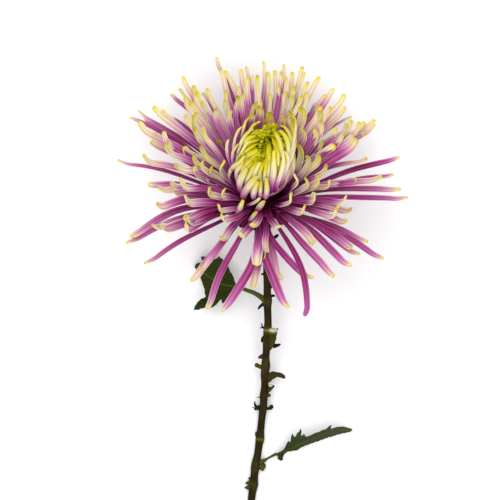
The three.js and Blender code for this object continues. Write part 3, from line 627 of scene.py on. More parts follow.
# The colour stage at each share of the way into the crease, and along a floret by its own share.
BALL_STAGES = [
    (0, 0), (0.14, 0.1), (0.24, 0.18), (0.34, 0.3), (0.44, 0.48), (0.56, 0.74), (0.7, 0.87), (0.9, 0.91),
    (1, 0.99),
]
OWN_STAGES = [(0, 0.02), (0.25, 0.2), (0.5, 0.5), (0.75, 0.74), (0.92, 0.86), (1, 0.91)]
BALL_TWIST = 14  # degrees that the ball's florets slant round it, opposite ways on its two sides
BALL_CHANCE = {"end": 1.2, "layer": 0.3, "slant": 2}  # how far chance moves them, over the scatter
BALL_ROLL = 1.0
FLARED_BY = 6  # the power by which a floret's tip stands off, so that the rest of it doesn't
BALL_STRAP = {"rib": 0.05, "thickness": 0.5}
BALL_SPREAD = 0.75  # the spread of colours across the ball's florets, whose margins aren't pale but painted deeper gold as shade
BALL_CENTRE = SPINE * BALL["middle"]
CREASE = outward(math.pi / 2 - BALL["crease_turn"])
ACROSS_CREASE = outward(-BALL["crease_turn"])


def ball_points(phi, share, layer):
    """The ball's points at azimuths, at shares of the way into the crease and at sizes of their layers."""
    phi, share, layer = np.broadcast_arrays(phi, share, layer)
    across, along, height = (interpolate(share, BALL_SECTIONS[:, [0, column]]) for column in (1, 2, 3))
    turned = phi + BALL["crease_turn"]
    return (
        ACROSS_CREASE * (across * layer * np.cos(turned))[:, None]
        + CREASE * (along * layer * np.sin(turned))[:, None]
        + SPINE * (BALL["middle"] + (height - BALL["middle"]) * layer)[:, None]
    )


def ball_florets():
    """The ball's whorls; the outer ones are on its far side only, as the near side's florets are placed."""
    bodies = []
    for whorl in BALL_WHORLS:
        for i in range(whorl["count"]):
            turn = (i + scatter(i, "ballTurn")) / whorl["count"]
            phi = 2 * math.pi * turn + math.radians(whorl["turn"])
            if math.sin(phi) > whorl["least_sine"]:
                bodies.append(ball_floret(whorl, phi, len(bodies)))
    return bodies


def ball_floret(whorl, phi, seed):
    shares = STRAP_SHARES
    end = whorl["to"] + BALL_CHANCE["end"] * scatter(seed, "ballEnd")
    places = np.minimum(1, whorl["from"] + (end - whorl["from"]) * shares)
    layer = whorl["layer"] + BALL_CHANCE["layer"] * scatter(seed, "ballEnd")
    depth = interpolate(shares, BALL_DEPTH_ALONG) * layer + whorl["flare"] * shares**FLARED_BY
    slant = BALL_CHANCE["slant"] * scatter(seed, "ballSlant") + BALL_TWIST * math.cos(phi)
    line = ball_points(phi + math.radians(slant) * (shares - 0.5), places, depth)
    along = along_line(line)
    normals = np.cross(along, np.cross(line - BALL_CENTRE, along))
    twist = math.radians(scatter(seed, "twist"))
    normals = unit(normals) * math.cos(twist) + around(phi) * math.sin(twist)
    width = whorl["width"] * (1 + scatter(seed, "width")) * interpolate(shares, BALL_WIDTH_ALONG)
    roll = -(BALL_ROLL + scatter(seed, "roll")) * np.ones(len(shares))
    own = whorl["own"]
    stages = interpolate(places, BALL_STAGES) * (1 - own) + interpolate(shares, OWN_STAGES) * own
    values = petal_coordinates(stages, shares, seed, BALL_SPREAD)
    return strap(line, shares, normals, width, roll, values, **BALL_STRAP)


# Incurved florets on the side towards the camera, placed one by one. layer is the size of the ball's layer
# that a floret lies on, stages are the colours at its foot, middle and tip, and its path goes from foot to
# tip, in [right, up] of the receptacle as seen from straight above.
PLACED_INCURVED = table(
    "width layer stages path",
    (2.8, 1.0, (0.7, 0.89, 0.93), [(9, 19.6), (8.8, 24.4), (8.4, 28.2), (7.2, 31.6), (5.9, 33.9)]),
    (3.6, 1.01, (0.66, 0.89, 0.93), [(11, 24), (10.9, 28), (10.1, 32), (8.8, 35), (7.2, 36.6)]),
    (3.6, 1.015, (0.5, 0.83, 0.91), [(14.2, 20), (14.6, 26), (14.2, 31.5), (12.4, 35.4), (9.4, 37.4)]),
    (2.8, 1.03, (0.4, 0.79, 0.89), [(14.6, 18), (16.2, 25), (15.9, 32), (14.4, 36.6), (12.2, 39.3),
     (9.6, 39.6)]),
    (2.6, 1.0, (0.74, 0.9, 0.94), [(1.6, 19), (1.8, 23), (2.2, 26.4), (2.6, 29.4), (3.2, 31.6)]),
    (3.0, 1.01, (0.62, 0.87, 0.93), [(3.6, 13.4), (3.7, 19), (3.9, 25), (4, 29.4), (3.9, 32.4)]),
    (3.2, 1.0, (0.74, 0.9, 0.93), [(-8.8, 30), (-7.2, 33.2), (-4.6, 35), (-1.4, 35.2)]),
    (3.0, 0.99, (0.78, 0.9, 0.94), [(-6.4, 33.6), (-4.4, 36.4), (-1.8, 38), (0.8, 37.4)]),
    (2.9, 1.0, (0.76, 0.9, 0.94), [(-10, 25.8), (-7.2, 28.2), (-4.6, 30), (-1.8, 31)]),
    (2.6, 0.995, (0.78, 0.9, 0.94), [(-7.8, 29.6), (-5.6, 31.8), (-3, 33), (-0.6, 33)]),
    (2.8, 1.0, (0.78, 0.9, 0.94), [(-8, 24), (-5.4, 25.8), (-2.6, 26.9), (-0.7, 26.9)]),
    (2.6, 0.995, (0.78, 0.9, 0.94), [(-6.6, 21.6), (-4.4, 23.4), (-2, 24.4), (-0.4, 24)]),
    (2.4, 1.01, (0.72, 0.89, 0.93), [(-8.4, 16.4), (-6.6, 19.6), (-4.2, 22), (-1.8, 23.4)]),
    (2.4, 1.005, (0.66, 0.87, 0.93), [(-5.4, 14.6), (-4.4, 18), (-2.8, 20.6), (-1, 21.9)]),
    (2.2, 1.01, (0.58, 0.85, 0.92), [(-1.4, 12), (-0.8, 16), (0.2, 19.4), (1.4, 21.8)]),
    (2.2, 1.015, (0.56, 0.83, 0.89), [(1.4, 11), (1.9, 15), (2.4, 19), (2.5, 22.4)]),
    (2.3, 1.03, (0.52, 0.79, 0.87), [(-10.9, 13.6), (-9.9, 17.6), (-7.4, 20.9), (-4.7, 22.5)]),
    (1.7, 1.03, (0.5, 0.83, 0.87), [(-13.6, 22.2), (-12, 24.1), (-10.1, 25.6), (-8.1, 25.8)]),
    (2.1, 1.05, (0.46, 0.73, 0.83), [(-13.6, 22.4), (-11.2, 25.3), (-9.1, 28.6), (-7, 31.2), (-4.6, 31.9)]),
    (2.7, 1.05, (0.56, 0.79, 0.87), [(-12.4, 26.4), (-11, 30), (-9.7, 33), (-7.4, 36.2), (-5.1, 37.8),
     (-3.8, 37.3)]),
    (2.8, 1.08, (0.36, 0.72, 0.85), [(-14.4, 23.6), (-14.5, 28), (-13.9, 32), (-12.7, 35.6), (-11.2, 38),
     (-9, 39.1)]),
    (2.8, 1.08, (0.5, 0.83, 0.89), [(-10.6, 35), (-9.4, 38.8), (-8.5, 41.4), (-7, 43.2), (-5, 43.8)]),
    (2.5, 1.04, (0.7, 0.9, 0.91), [(-6.8, 36.6), (-5.6, 38.8), (-4.1, 40.6), (-2.2, 41.6), (-0.2, 41.5)]),
    (2.8, 1.08, (0.36, 0.69, 0.83), [(-15, 20), (-15.2, 24), (-14.4, 27.2), (-12.8, 29.3), (-11.1, 30.4)]),
    (2.8, 1.14, (0.14, 0.61, 0.83), [(-15.2, 17.5), (-17, 23), (-17.7, 27.6), (-17.2, 31.2), (-15.8, 32.8)]),
    (2.7, 1.05, (0.24, 0.65, 0.81), [(-12, 9), (-13, 13), (-13, 16), (-11.9, 18.4), (-10, 20.6),
     (-8.6, 22.2)]),
    (2.5, 1.1, (0.14, 0.67, 0.83), [(-14.6, 8.6), (-16.2, 12), (-16.7, 15), (-15.5, 17.9), (-13.1, 20),
     (-10.5, 21.6), (-8, 24.6)]),
    (2.9, 1.02, (0.3, 0.73, 0.87), [(-7.8, 7), (-7.8, 11), (-6.4, 14.4), (-4.6, 17.6), (-3, 20)]),
    (2.3, 1.045, (0.4, 0.73, 0.83), [(-4.4, 9), (-4, 13), (-2.8, 17), (-1.4, 19.8), (0, 21.2)]),
    (4.0, 1.07, (0.2, 0.65, 0.79), [(-10.2, 5.4), (-11.5, 8.4), (-11.3, 11.4), (-9.5, 14.8), (-6.9, 18.6)]),
    (3.4, 1.07, (0.24, 0.69, 0.83), [(-4.3, 2.8), (-4.2, 5), (-3.3, 8), (-1.5, 12.1)]),
    (1.9, 1.08, (0.26, 0.71, 0.87), [(-0.5, 3.6), (-0.4, 6), (-0.2, 9), (0.1, 12.5)]),
    (3.3, 1.12, (0.3, 0.69, 0.81), [(-9.4, 2.6), (-8.6, 5.4), (-6.2, 8.9), (-3.6, 12.2), (-1.7, 14.6)]),
    (2.9, 1.1, (0.22, 0.67, 0.83), [(1.9, 2.6), (2.5, 5), (2.8, 8.4), (2.5, 13.9)]),
    (3.6, 1.05, (0.12, 0.64, 0.82), [(5.2, 5.6), (6, 9.4), (6.7, 14), (6.9, 20), (6.6, 27.2)]),
    (2.8, 1.07, (0.08, 0.62, 0.8), [(7.4, 6.2), (8.3, 8.8), (9.3, 12), (10.8, 16.6), (11.6, 22), (11, 27)]),
    (2.6, 1.085, (0.08, 0.62, 0.8), [(9.6, 8.2), (11, 11.2), (12.4, 14.8), (13.6, 18.8), (14.3, 22.2),
     (13.3, 25), (11.7, 26.8)]),
    (2.7, 1.07, (0.64, 0.8, 0.9), [(14.2, 19), (16, 24), (17, 29.5), (17.3, 33.5), (17, 37), (15.7, 40),
     (13.3, 41.3)]),
    (2.4, 1.1, (0.64, 0.8, 0.9), [(15, 24), (16.8, 31), (17.8, 37), (18, 41), (17.2, 43.6), (15.8, 44.8),
     (14, 45.1)]),
)
# Short florets that stand before the ball's foot. Their paths also have heights: [right, up, height].
FORE_FLORETS = table(
    "width stages path",
    (2.2, (0.1, 0.56, 0.76), [(-7.6, -0.6, 15), (-6.4, -0.3, 19), (-4.3, 0.5, 23), (-1.5, 2.5, 26),
     (0.8, 5.9, 28)]),
    (3.2, (0.1, 0.62, 0.8), [(-1.7, -3.8, 16), (-0.8, -2, 21), (0.4, 0.2, 25), (1.7, 2.7, 28)]),
    (2.8, (0.16, 0.62, 0.8), [(-12.6, -6, 14), (-11.7, -3.6, 19), (-10.3, -0.4, 23), (-8.6, 3.3, 25)]),
    (2.3, (0.3, 0.66, 0.84), [(-5.4, -8.4, 22), (-3.6, -5.4, 28), (-1.9, -2.5, 32)]),
)
INCURVED_WIDTH_ALONG = [
    (0, 0.4), (0.15, 0.62), (0.35, 0.9), (0.55, 1), (0.75, 0.95), (0.88, 0.76), (0.96, 0.58), (1, 0.5),
]
INCURVED_DEPTH_ALONG = [(0, -0.04), (0.2, -0.02), (0.5, 0), (0.8, 0.01), (1, 0.03)]
INCURVED_WIDER = 1.32  # a rolled strap's width over the width that is seen of it
INCURVED_ROLL = 1.15
INCURVED_TWIST = 0.6  # over a ray floret's
FLORET_ROOT = SPINE * 9  # where the ball's florets grow from
ROOTED_BELOW = 6  # how far up the foot of a floret is, at most, that goes on towards its root, out of sight
ROOTED = 0.25  # and what share of the way there it goes
# Where the colours are along a placed floret, and along one that goes on towards its root.
COLOURED_AT = (0, 0.45, 0.9, 1)
ROOTED_COLOURED_AT = (0, 0.26, 0.64, 0.9, 1)
END_GREENER = 0.01  # how much further in its colours the very end is
BALL_GRID = (180, 60)  # places round the ball, and from its foot into the crease, that show its heights
SEEN_WITHIN = 0.9  # how near to a place, as seen from above, the points of the ball are that show its height
SEEN_BESIDE = 0.05  # how much further than the nearest one, where the place is beside the ball
SEEN_DEEP = 1.5  # and how far they are under the highest of them


def ball_grid():
    """Points all over the ball's outermost layer."""
    turns = np.linspace(-math.pi, math.pi, BALL_GRID[0], endpoint=False)
    phi, share = np.meshgrid(turns, np.linspace(0, 1, BALL_GRID[1]))
    return ball_points(phi.ravel(), share.ravel(), 1.0)


def on_ball(places, layer, grid):
    """The points of a layer of the ball at places as seen from straight above, or beside its outline."""
    centre = BALL_CENTRE[:2]
    found = []
    for x, y in (np.asarray(places) - centre) / layer + centre:
        far = np.hypot(grid[:, 0] - x, grid[:, 1] - y)
        near = grid[far < max(SEEN_WITHIN, far.min() + SEEN_BESIDE), 2]
        found.append((x, y, near[near > near.max() - SEEN_DEEP].mean()))
    found = np.array(found)
    found[1:-1, 2] = (found[:-2, 2] + 2 * found[1:-1, 2] + found[2:, 2]) / 4
    return BALL_CENTRE + (found - BALL_CENTRE) * layer


def placed_incurved(spec, seed, grid):
    """A floret along a path on the ball, or in front of it, its tip standing off it."""
    shares = STRAP_SHARES
    path = on_ball(spec["path"], spec["layer"], grid) if "layer" in spec else np.array(spec["path"])
    coloured_at, stages = COLOURED_AT, [*spec["stages"], spec["stages"][-1] + END_GREENER]
    if path[0][1] < ROOTED_BELOW:
        path = np.concatenate([[path[0] + (FLORET_ROOT - path[0]) * ROOTED], path])
        coloured_at, stages = ROOTED_COLOURED_AT, [0, *stages]
    line = smooth_line(path, shares)
    line = line + (line - BALL_CENTRE) * interpolate(shares, INCURVED_DEPTH_ALONG)[:, None]
    along = along_line(line)
    normals = unit(np.cross(along, np.cross(line - BALL_CENTRE, along)))
    twist = INCURVED_TWIST * math.radians(scatter(seed, "twist"))
    normals = normals * math.cos(twist) + np.cross(along, normals) * math.sin(twist)
    width = spec["width"] * INCURVED_WIDER * interpolate(shares, INCURVED_WIDTH_ALONG)
    roll = -(INCURVED_ROLL + scatter(seed, "roll")) * np.ones(len(shares))
    values = petal_coordinates(np.interp(shares, coloured_at, stages), shares, seed, BALL_SPREAD)
    return strap(line, shares, normals, width, roll, values, **BALL_STRAP)


# The crease's bottom as seen from straight above, [right, up].
EYE_LINE = [
    (0, 21.6), (0.3, 23.8), (-0.1, 25.4), (0.4, 27), (0.8, 29), (1.6, 31.2), (2, 33.2), (3.6, 33.9),
    (5, 34.6), (6.4, 35.8),
]
# Short tips in rows on both sides of it. They stand up to aside from it, and at least the share least of
# that; down is how far they go down towards the right, over the distance aside. outer is their length at the
# outside, over length, and shorter what it loses inwards. stages are their feet's and tips' at the outside,
# and greener what those gain inwards. inward is how far they lean in, for each millimetre aside, and stray
# how far chance turns them along the crease.
EYE = {
    "count": 110, "aside": 1.9, "least": 0.12, "down": 0.4, "layer": 0.93, "width": 1.2, "length": 2.6,
    "outer": 0.75, "shorter": 0.45, "stages": (0.95, 0.89), "greener": (0.04, 0.09), "inward": 0.35,
    "stray": 0.3,
}
# Small blunt tips round the far end of the crease, crowded within an oval: its middle, half sizes and slant.
# stages are their feet's and tips'. length_chance and stage_chance are how far chance moves the length and
# the tip's stage, over the scatter, and stray how far it turns them to the right and to the far side.
CROWD = {
    "count": 44, "middle": (2.8, 36.0), "size": (4.8, 2.4), "slant": 0.45, "layer": 0.96, "width": 1.35,
    "length": 2.2, "length_chance": 2, "stages": (0.96, 0.885), "stage_chance": 0.025, "stray": (0.35, 0.25),
}
UPRIGHT_WIDTH_ALONG = [(0, 0.75), (0.6, 0.8), (0.85, 1.1), (1, 0.9)]
UPRIGHT_ROLL = 1.3
UPRIGHT_THICKNESS = 0.6  # over the width


def upright_tip(foot, lean, length, width, stages, seed):
    """A small blunt floret tip that stands up from a foot."""
    shares = STRAP_SHARES[::2]
    line = foot + lean * length * shares[:, None]
    normals = np.tile(CREASE, (len(shares), 1))
    widths = width * interpolate(shares, UPRIGHT_WIDTH_ALONG)
    roll = UPRIGHT_ROLL * np.ones(len(shares))
    values = petal_coordinates(np.interp(shares, [0, 1], stages), shares, seed, BALL_SPREAD)
    return strap(line, shares, normals, widths, roll, values, rib=0.0, thickness=UPRIGHT_THICKNESS * width)


def eye_tips(grid):
    """Short tips beside the crease's bottom, greener and more upright towards it."""
    bodies = []
    for i in range(EYE["count"]):
        middle = smooth_line(EYE_LINE, np.array([(i + 0.5) / EYE["count"]]))[0]
        share = EYE["least"] + (1 - EYE["least"]) * abs(scatter(i, "tone"))
        aside = (1 if i % 2 else -1) * share * EYE["aside"]
        foot = on_ball([middle + aside * np.array([1, -EYE["down"]])], EYE["layer"], grid)[0]
        stray = EYE["stray"] * scatter(i, "ripple") * CREASE
        lean = unit(unit(foot - BALL_CENTRE) - EYE["inward"] * aside * ACROSS_CREASE + stray)
        near = 1 - abs(aside) / EYE["aside"]
        length = EYE["length"] * (EYE["outer"] - EYE["shorter"] * near + scatter(i, "width"))
        stages = [stage + greener * near for stage, greener in zip(EYE["stages"], EYE["greener"])]
        bodies.append(upright_tip(foot, lean, length, EYE["width"], stages, i))
    return bodies


def crowded_tips(grid):
    """Small yellow tips with green feet, crowded round the far end of the crease."""
    bodies = []
    for i in range(CROWD["count"]):
        turn = i * GOLDEN_ANGLE
        reach = math.sqrt((i + 0.5) / CROWD["count"])
        x, y = CROWD["size"][0] * reach * math.cos(turn), CROWD["size"][1] * reach * math.sin(turn)
        place = np.array(CROWD["middle"]) + (x, y + CROWD["slant"] * x)
        foot = on_ball([place], CROWD["layer"], grid)[0]
        aside, back = CROWD["stray"]
        lean = unit(foot - BALL_CENTRE) + aside * RIGHT * scatter(i, "ripple")
        lean = unit(lean + back * FAR * scatter(i, "tone"))
        length = CROWD["length"] * (1 + CROWD["length_chance"] * scatter(i, "width"))
        foot_stage, tip_stage = CROWD["stages"]
        stages = [foot_stage, tip_stage + CROWD["stage_chance"] * scatter(i, "ripple")]
        bodies.append(upright_tip(foot, lean, length, CROWD["width"], stages, i))
    return bodies


CORE_PROFILE = [(3, 0.4), (8.4, 0.4), (11, 2), (12.4, 5), (11.5, 8.5), (9, 10.5), (3, 10.6)]
CORE_SIDES = 32
# The ball's inner body: its size over the ball's, and its rings' shares of the way into the crease.
BALL_CORE = {
    "size": 0.84, "shares": np.linspace(0, 0.97, 20), "sides": 40,
    "stages": [(0, 0.05), (0.2, 0.15), (0.4, 0.86), (0.75, 0.92), (0.9, 1.0)],
}


def ball_core():
    """The ball's inner body, under its florets: a smaller ball with the same crease."""
    angles = 2 * math.pi * np.arange(BALL_CORE["sides"]) / BALL_CORE["sides"]
    rings = [ball_points(angles, share, BALL_CORE["size"]) for share in BALL_CORE["shares"]]
    return ringed_body(rings, between(BALL_CORE["shares"], BALL_CORE["stages"]))


# ---- Stem ----

# The stem's middle line below its neck, down to the cut end, as [right, up, height].
STEM_LINE = [
    (1.4, -12.5, -11.2), (2.4, -22, -15), (3.2, -34, -18.6), (3.3, -48, -22.6), (3.6, -62, -27),
    (2.4, -78, -31.4), (1.8, -94, -35.4), (0.2, -110, -38.6), (-1.3, -123, -40), (-3, -134, -40),
    (-4.5, -146, -40), (-5.4, -157, -40),
]
NECK = (-9.3, -11.5)  # heights of the stem's first two points, which lie on the bloom's axis
# neck is the radius at the bloom, neck_share how far down the stem it fades, ridge the height of the ridges
# over the radius, ridge_turn how far they wind in radians, and darker how much darker the stem is at the cut.
STEM = {
    "radius": 1.86, "neck": 2.4, "neck_share": 0.12, "rings": 170, "sides": 32, "ridges": 6, "ridge": 0.05,
    "ridge_turn": 5, "stage": 0.42, "darker": 0.12, "tone": 0.3,
}
STEM_STEPS = 400  # places along the stem that its middle line is looked up between
STEM_REST = 1.848  # height of the middle line where the stem lies on the surface
STEM_CUT = {"over": 0.15, "radius": 0.97}  # how far the cut face stands out, and its radius over the stem's
# Nodes, where leaves and buds grew: distance up, swelling and its side, in degrees from the right to the
# viewer.
STEM_NODES = [
    (-35, 0.25, 200), (-47.5, 0.55, 180), (-63, 0.5, 0), (-68, 0.5, 10), (-80, 0.75, 180), (-85, 0.45, 0),
    (-95, 0.5, 0), (-101.5, 0.35, 180), (-117, 0.6, 180), (-129, 0.4, 0), (-132, 0.4, 0), (-140, 0.7, 180),
]
NODE_LENGTH = 2.6
NODE_ALL_ROUND = 0.35  # share of a node's swelling that goes all round the stem
NODE_PALER = 0.14  # how much further in its colours a node is, for each millimetre of its swelling
# Paler bands, where a leaf's scar rings the stem: distance up and how much further in its colours it is.
STEM_BANDS = [(-61.8, 0.4), (-76.6, 0.06), (-95, 0.06), (-117.4, 0.3), (-133, 0.14), (-140, 0.08)]
BAND_LENGTH = 0.9  # half of a band

# What is left of trimmed leaves, side shoots and buds: the colour stage, the path as [right, up, height over
# the stem's middle line, width], the thickness over the width, and whether the end is a cut one.
TWIGS = table(
    "stage path flat cut",
    (0.12, [(4.2, -34, 0, 1.3), (5.4, -33.7, 0.3, 0.7), (6.2, -33.3, 0.4, 0.8), (6.2, -32.3, 0.5, 0.4)]),
    (0.5, [(4.6, -40.8, 0.2, 2), (6.4, -39.6, 0.6, 1.8), (7.5, -38.2, 0.6, 1.6), (7.7, -37, 0.5, 0.9)]),
    (0.4, [(1.8, -34.2, 0, 1.6), (0.1, -34.2, 0.2, 0.8)]),
    (0.15, [(5, -45.2, 0, 1.8), (6.4, -45, 0.2, 1.2), (7.1, -45.5, 0.2, 0.7)]),
    (0.2, [(2, -49, 0, 2.6), (0.3, -49.9, 0.2, 1.5), (-0.8, -51, 0.2, 1.2), (-1.4, -52.1, 0.1, 0.4)]),
    (0.12, [(2, -61.5, 0, 1.2), (0.9, -60.7, 0.2, 0.9), (0.3, -58.6, 0.2, 0.4)]),
    (0.12, [(1.1, -60.9, 0.2, 0.8), (-0.5, -61.3, 0.2, 0.35)]),
    (0.55, [(4.2, -72, 0, 2), (5.2, -69, 0.3, 3.6), (5.8, -65.6, 0.9, 4.2),
     (6.2, -61.8, 2, 4.6)], 0.8, True),
    (0.2, [(6.2, -70.3, 0.3, 2.6), (8.3, -70, 0.5, 1.7), (10, -69.3, 0.6, 0.9)]),
    (0.45, [(7.6, -62.6, 1.2, 1.3), (8.6, -61.4, 1.3, 0.6)]),
    (0.25, [(2.4, -65.2, 0, 1.5), (1.1, -66.6, 0.2, 1.9), (0.5, -68.6, 0.2, 0.9)], 0.5),
    (0.5, [(2, -75.2, 0, 2.8), (0.2, -75.7, 0.3, 2.1), (-1.3, -76.4, 0.3, 0.9)], 0.5),
    (0.56, [(2.2, -81.8, 0, 3), (-0.4, -80.7, 0.4, 2.1), (-2.2, -79.9, 0.5, 2.3), (-3.1, -79.7, 0.4, 1.4)]),
    (0.5, [(3, -86.6, 0.2, 4.8), (5.8, -85.1, 0.6, 3.9), (8.6, -84.7, 0.9, 2.5), (11, -85.5, 0.8, 2.3),
     (12.2, -86.7, 0.6, 1.3)], 0.4),
    (0.55, [(3.4, -93.4, 0.4, 1.6), (4.6, -91.8, 1, 2.2), (4.9, -90, 2, 2.3)], 0.8, True),
    (0.12, [(5.3, -91.4, 0.8, 1.8), (6.8, -90.1, 0.9, 0.9)]),
    (0.6, [(3.4, -95, 0.2, 2.4), (5.1, -95.2, 0.3, 1.3)]),
    (0.05, [(0.4, -96.1, 0, 0.8), (-2.1, -96.1, 0.2, 0.3)]),
    (0.3, [(0.6, -101.2, 0, 3.2), (-1.6, -101.5, 0.3, 2.4), (-3.4, -102.3, 0.3, 1.1)]),
    (0.12, [(-1.8, -101.4, 0.3, 1.6), (-2.9, -99.8, 0.3, 1.1), (-3, -97.9, 0.3, 0.4)]),
    (0.2, [(-3, -101.3, 0.3, 0.4), (-4.7, -101.2, 0.3, 0.25)]),
    (0.3, [(2.6, -101.6, 0, 1.9), (4.2, -101.8, 0.3, 1.5), (5.1, -101.2, 0.4, 2.3), (5.9, -99.9, 0.4, 1.7)]),
    (0.5, [(-0.4, -117, 0.2, 3.4), (-2, -114.9, 0.3, 1.8), (-2.3, -113.4, 0.2, 0.9)]),
    (0.6, [(0.2, -132.8, 0.6, 2.4), (1.4, -130.7, 0.9, 2.5), (2.2, -129.6, 0.7, 1.1)]),
    (0.56, [(-2.8, -141.8, 0.1, 4.6), (-5.6, -141.5, 0.3, 2.6), (-8.3, -141.7, 0.3, 0.8)]),
    (0.54, [(-3.4, -138.2, 0.1, 3.6), (-6, -139.2, 0.3, 2.2), (-7.8, -139.2, 0.3, 0.6)]),
    (0.52, [(-3.2, -136.4, 0.1, 2.4), (-5.4, -136.9, 0.3, 1.5), (-6.3, -137, 0.2, 0.7)]),
    (0.3, [(2.4, -19.4, 0, 1.8), (5.5, -16.9, 0.8, 1.6), (7.4, -15.5, 1.2, 1.8), (9, -14.2, 1.4, 1)]),
)
# round_from and round_over are shares of the length, where a grown end rounds off, and round_to how far it
# does. rough is how uneven a stub is, over its radius, and rough_pace how often along it, in radians.
TWIG = {
    "rings": 14, "sides": 14, "flat": 0.8, "round_from": 0.8, "round_over": 0.2, "round_to": 0.95,
    "cut_radius": 0.86, "rough": 0.08, "rough_pace": 23,
}
RIM_STAGE, CUT_STAGE = 0.78, 1.0


def stem_line(shares):
    neck = [about_axis(0, 0, height) for height in NECK]
    line = smooth_line(neck + [np.array(point) for point in STEM_LINE], shares)
    line[:, 2] = np.maximum(line[:, 2], STEM_REST - RECEPTACLE[2])
    return line


def stem_middle(up):
    """The stem's middle line at a distance up from the receptacle."""
    line = stem_line(np.linspace(0, 1, STEM_STEPS))
    return np.array([np.interp(-up, -line[:, 1], line[:, axis]) for axis in range(3)])


def tube(line, radii, flat, stages, sides, tone):
    """A closed tube along a line, flattened from the camera's side. radii is by ring, or by ring and side."""
    along = along_line(line)
    up = np.array([0, 0, 1.0])
    raised = unit(up - along * (along @ up)[:, None])
    across = np.cross(along, raised)
    angles = 2 * math.pi * np.arange(sides) / sides
    radii = np.broadcast_to(np.asarray(radii, float).reshape(len(line), -1), (len(line), sides))[..., None]
    circle = across[:, None] * np.cos(angles)[:, None] + raised[:, None] * (np.sin(angles) * flat)[:, None]
    vertices, faces = closed_tube(line[:, None] + circle * radii)
    shares = np.linspace(0, 1, len(line))
    rings = [
        np.stack(np.broadcast_arrays(stage, angles / (2 * math.pi), tone, share), -1)
        for stage, share in zip(stages, shares)
    ]
    return vertices, faces, np.concatenate(rings)


def twig_body(twig, seed):
    shares = np.linspace(0, 1, TWIG["rings"])
    path = [(x, y, stem_middle(y)[2] + height, width / 2) for x, y, height, width in twig["path"]]
    smooth = smooth_line(path, shares)
    line, half = smooth[:, :3], smooth[:, 3]
    stages = np.full(TWIG["rings"], twig["stage"])
    if twig.get("cut"):
        stages[-2:] = RIM_STAGE, CUT_STAGE
        half[-1] *= TWIG["cut_radius"]
    else:
        end = np.clip((shares - TWIG["round_from"]) / TWIG["round_over"], 0, TWIG["round_to"])
        half = half * np.sqrt(1 - end**2)
    line[:, 2] = np.maximum(line[:, 2], half - RECEPTACLE[2])
    rough = 1 + TWIG["rough"] * np.sin(shares * TWIG["rough_pace"] + seed)
    flat = twig.get("flat", TWIG["flat"])
    return tube(line, half * rough, flat, stages, TWIG["sides"], seed / len(TWIGS))


def stem_body():
    shares = np.linspace(0, 1, STEM["rings"])
    line = stem_line(shares)
    angles = 2 * math.pi * np.arange(STEM["sides"]) / STEM["sides"]
    widening = STEM["neck"] - STEM["radius"]
    radii = STEM["radius"] + widening * np.maximum(0, 1 - shares / STEM["neck_share"])
    wound = STEM["ridges"] * angles + STEM["ridge_turn"] * shares[:, None]
    radii = radii[:, None] * (1 + STEM["ridge"] * np.cos(wound))
    stages = STEM["stage"] - STEM["darker"] * shares
    for up, swelling, side in STEM_NODES:
        near = np.exp(-(((line[:, 1] - up) / NODE_LENGTH) ** 2))
        facing = np.maximum(0, np.cos(angles - math.radians(side)))
        radii = radii + swelling * near[:, None] * (NODE_ALL_ROUND + (1 - NODE_ALL_ROUND) * facing)
        stages = stages + NODE_PALER * near * swelling
    for up, paler in STEM_BANDS:
        stages = stages + paler * np.exp(-(((line[:, 1] - up) / BAND_LENGTH) ** 2))
    lowest = line[:, 2:] + RECEPTACLE[2] + np.minimum(0, np.sin(angles)) * radii
    radii = np.where(lowest < 0, radii + lowest, radii)
    line = np.concatenate([line, line[-1:]])
    line[-1, 1] -= STEM_CUT["over"]
    radii = np.concatenate([radii, radii[-1:] * STEM_CUT["radius"]])
    return tube(line, radii, 1, [*stages, CUT_STAGE], STEM["sides"], STEM["tone"])


def stem_bodies():
    return [stem_body()] + [twig_body(twig, seed) for seed, twig in enumerate(TWIGS)]
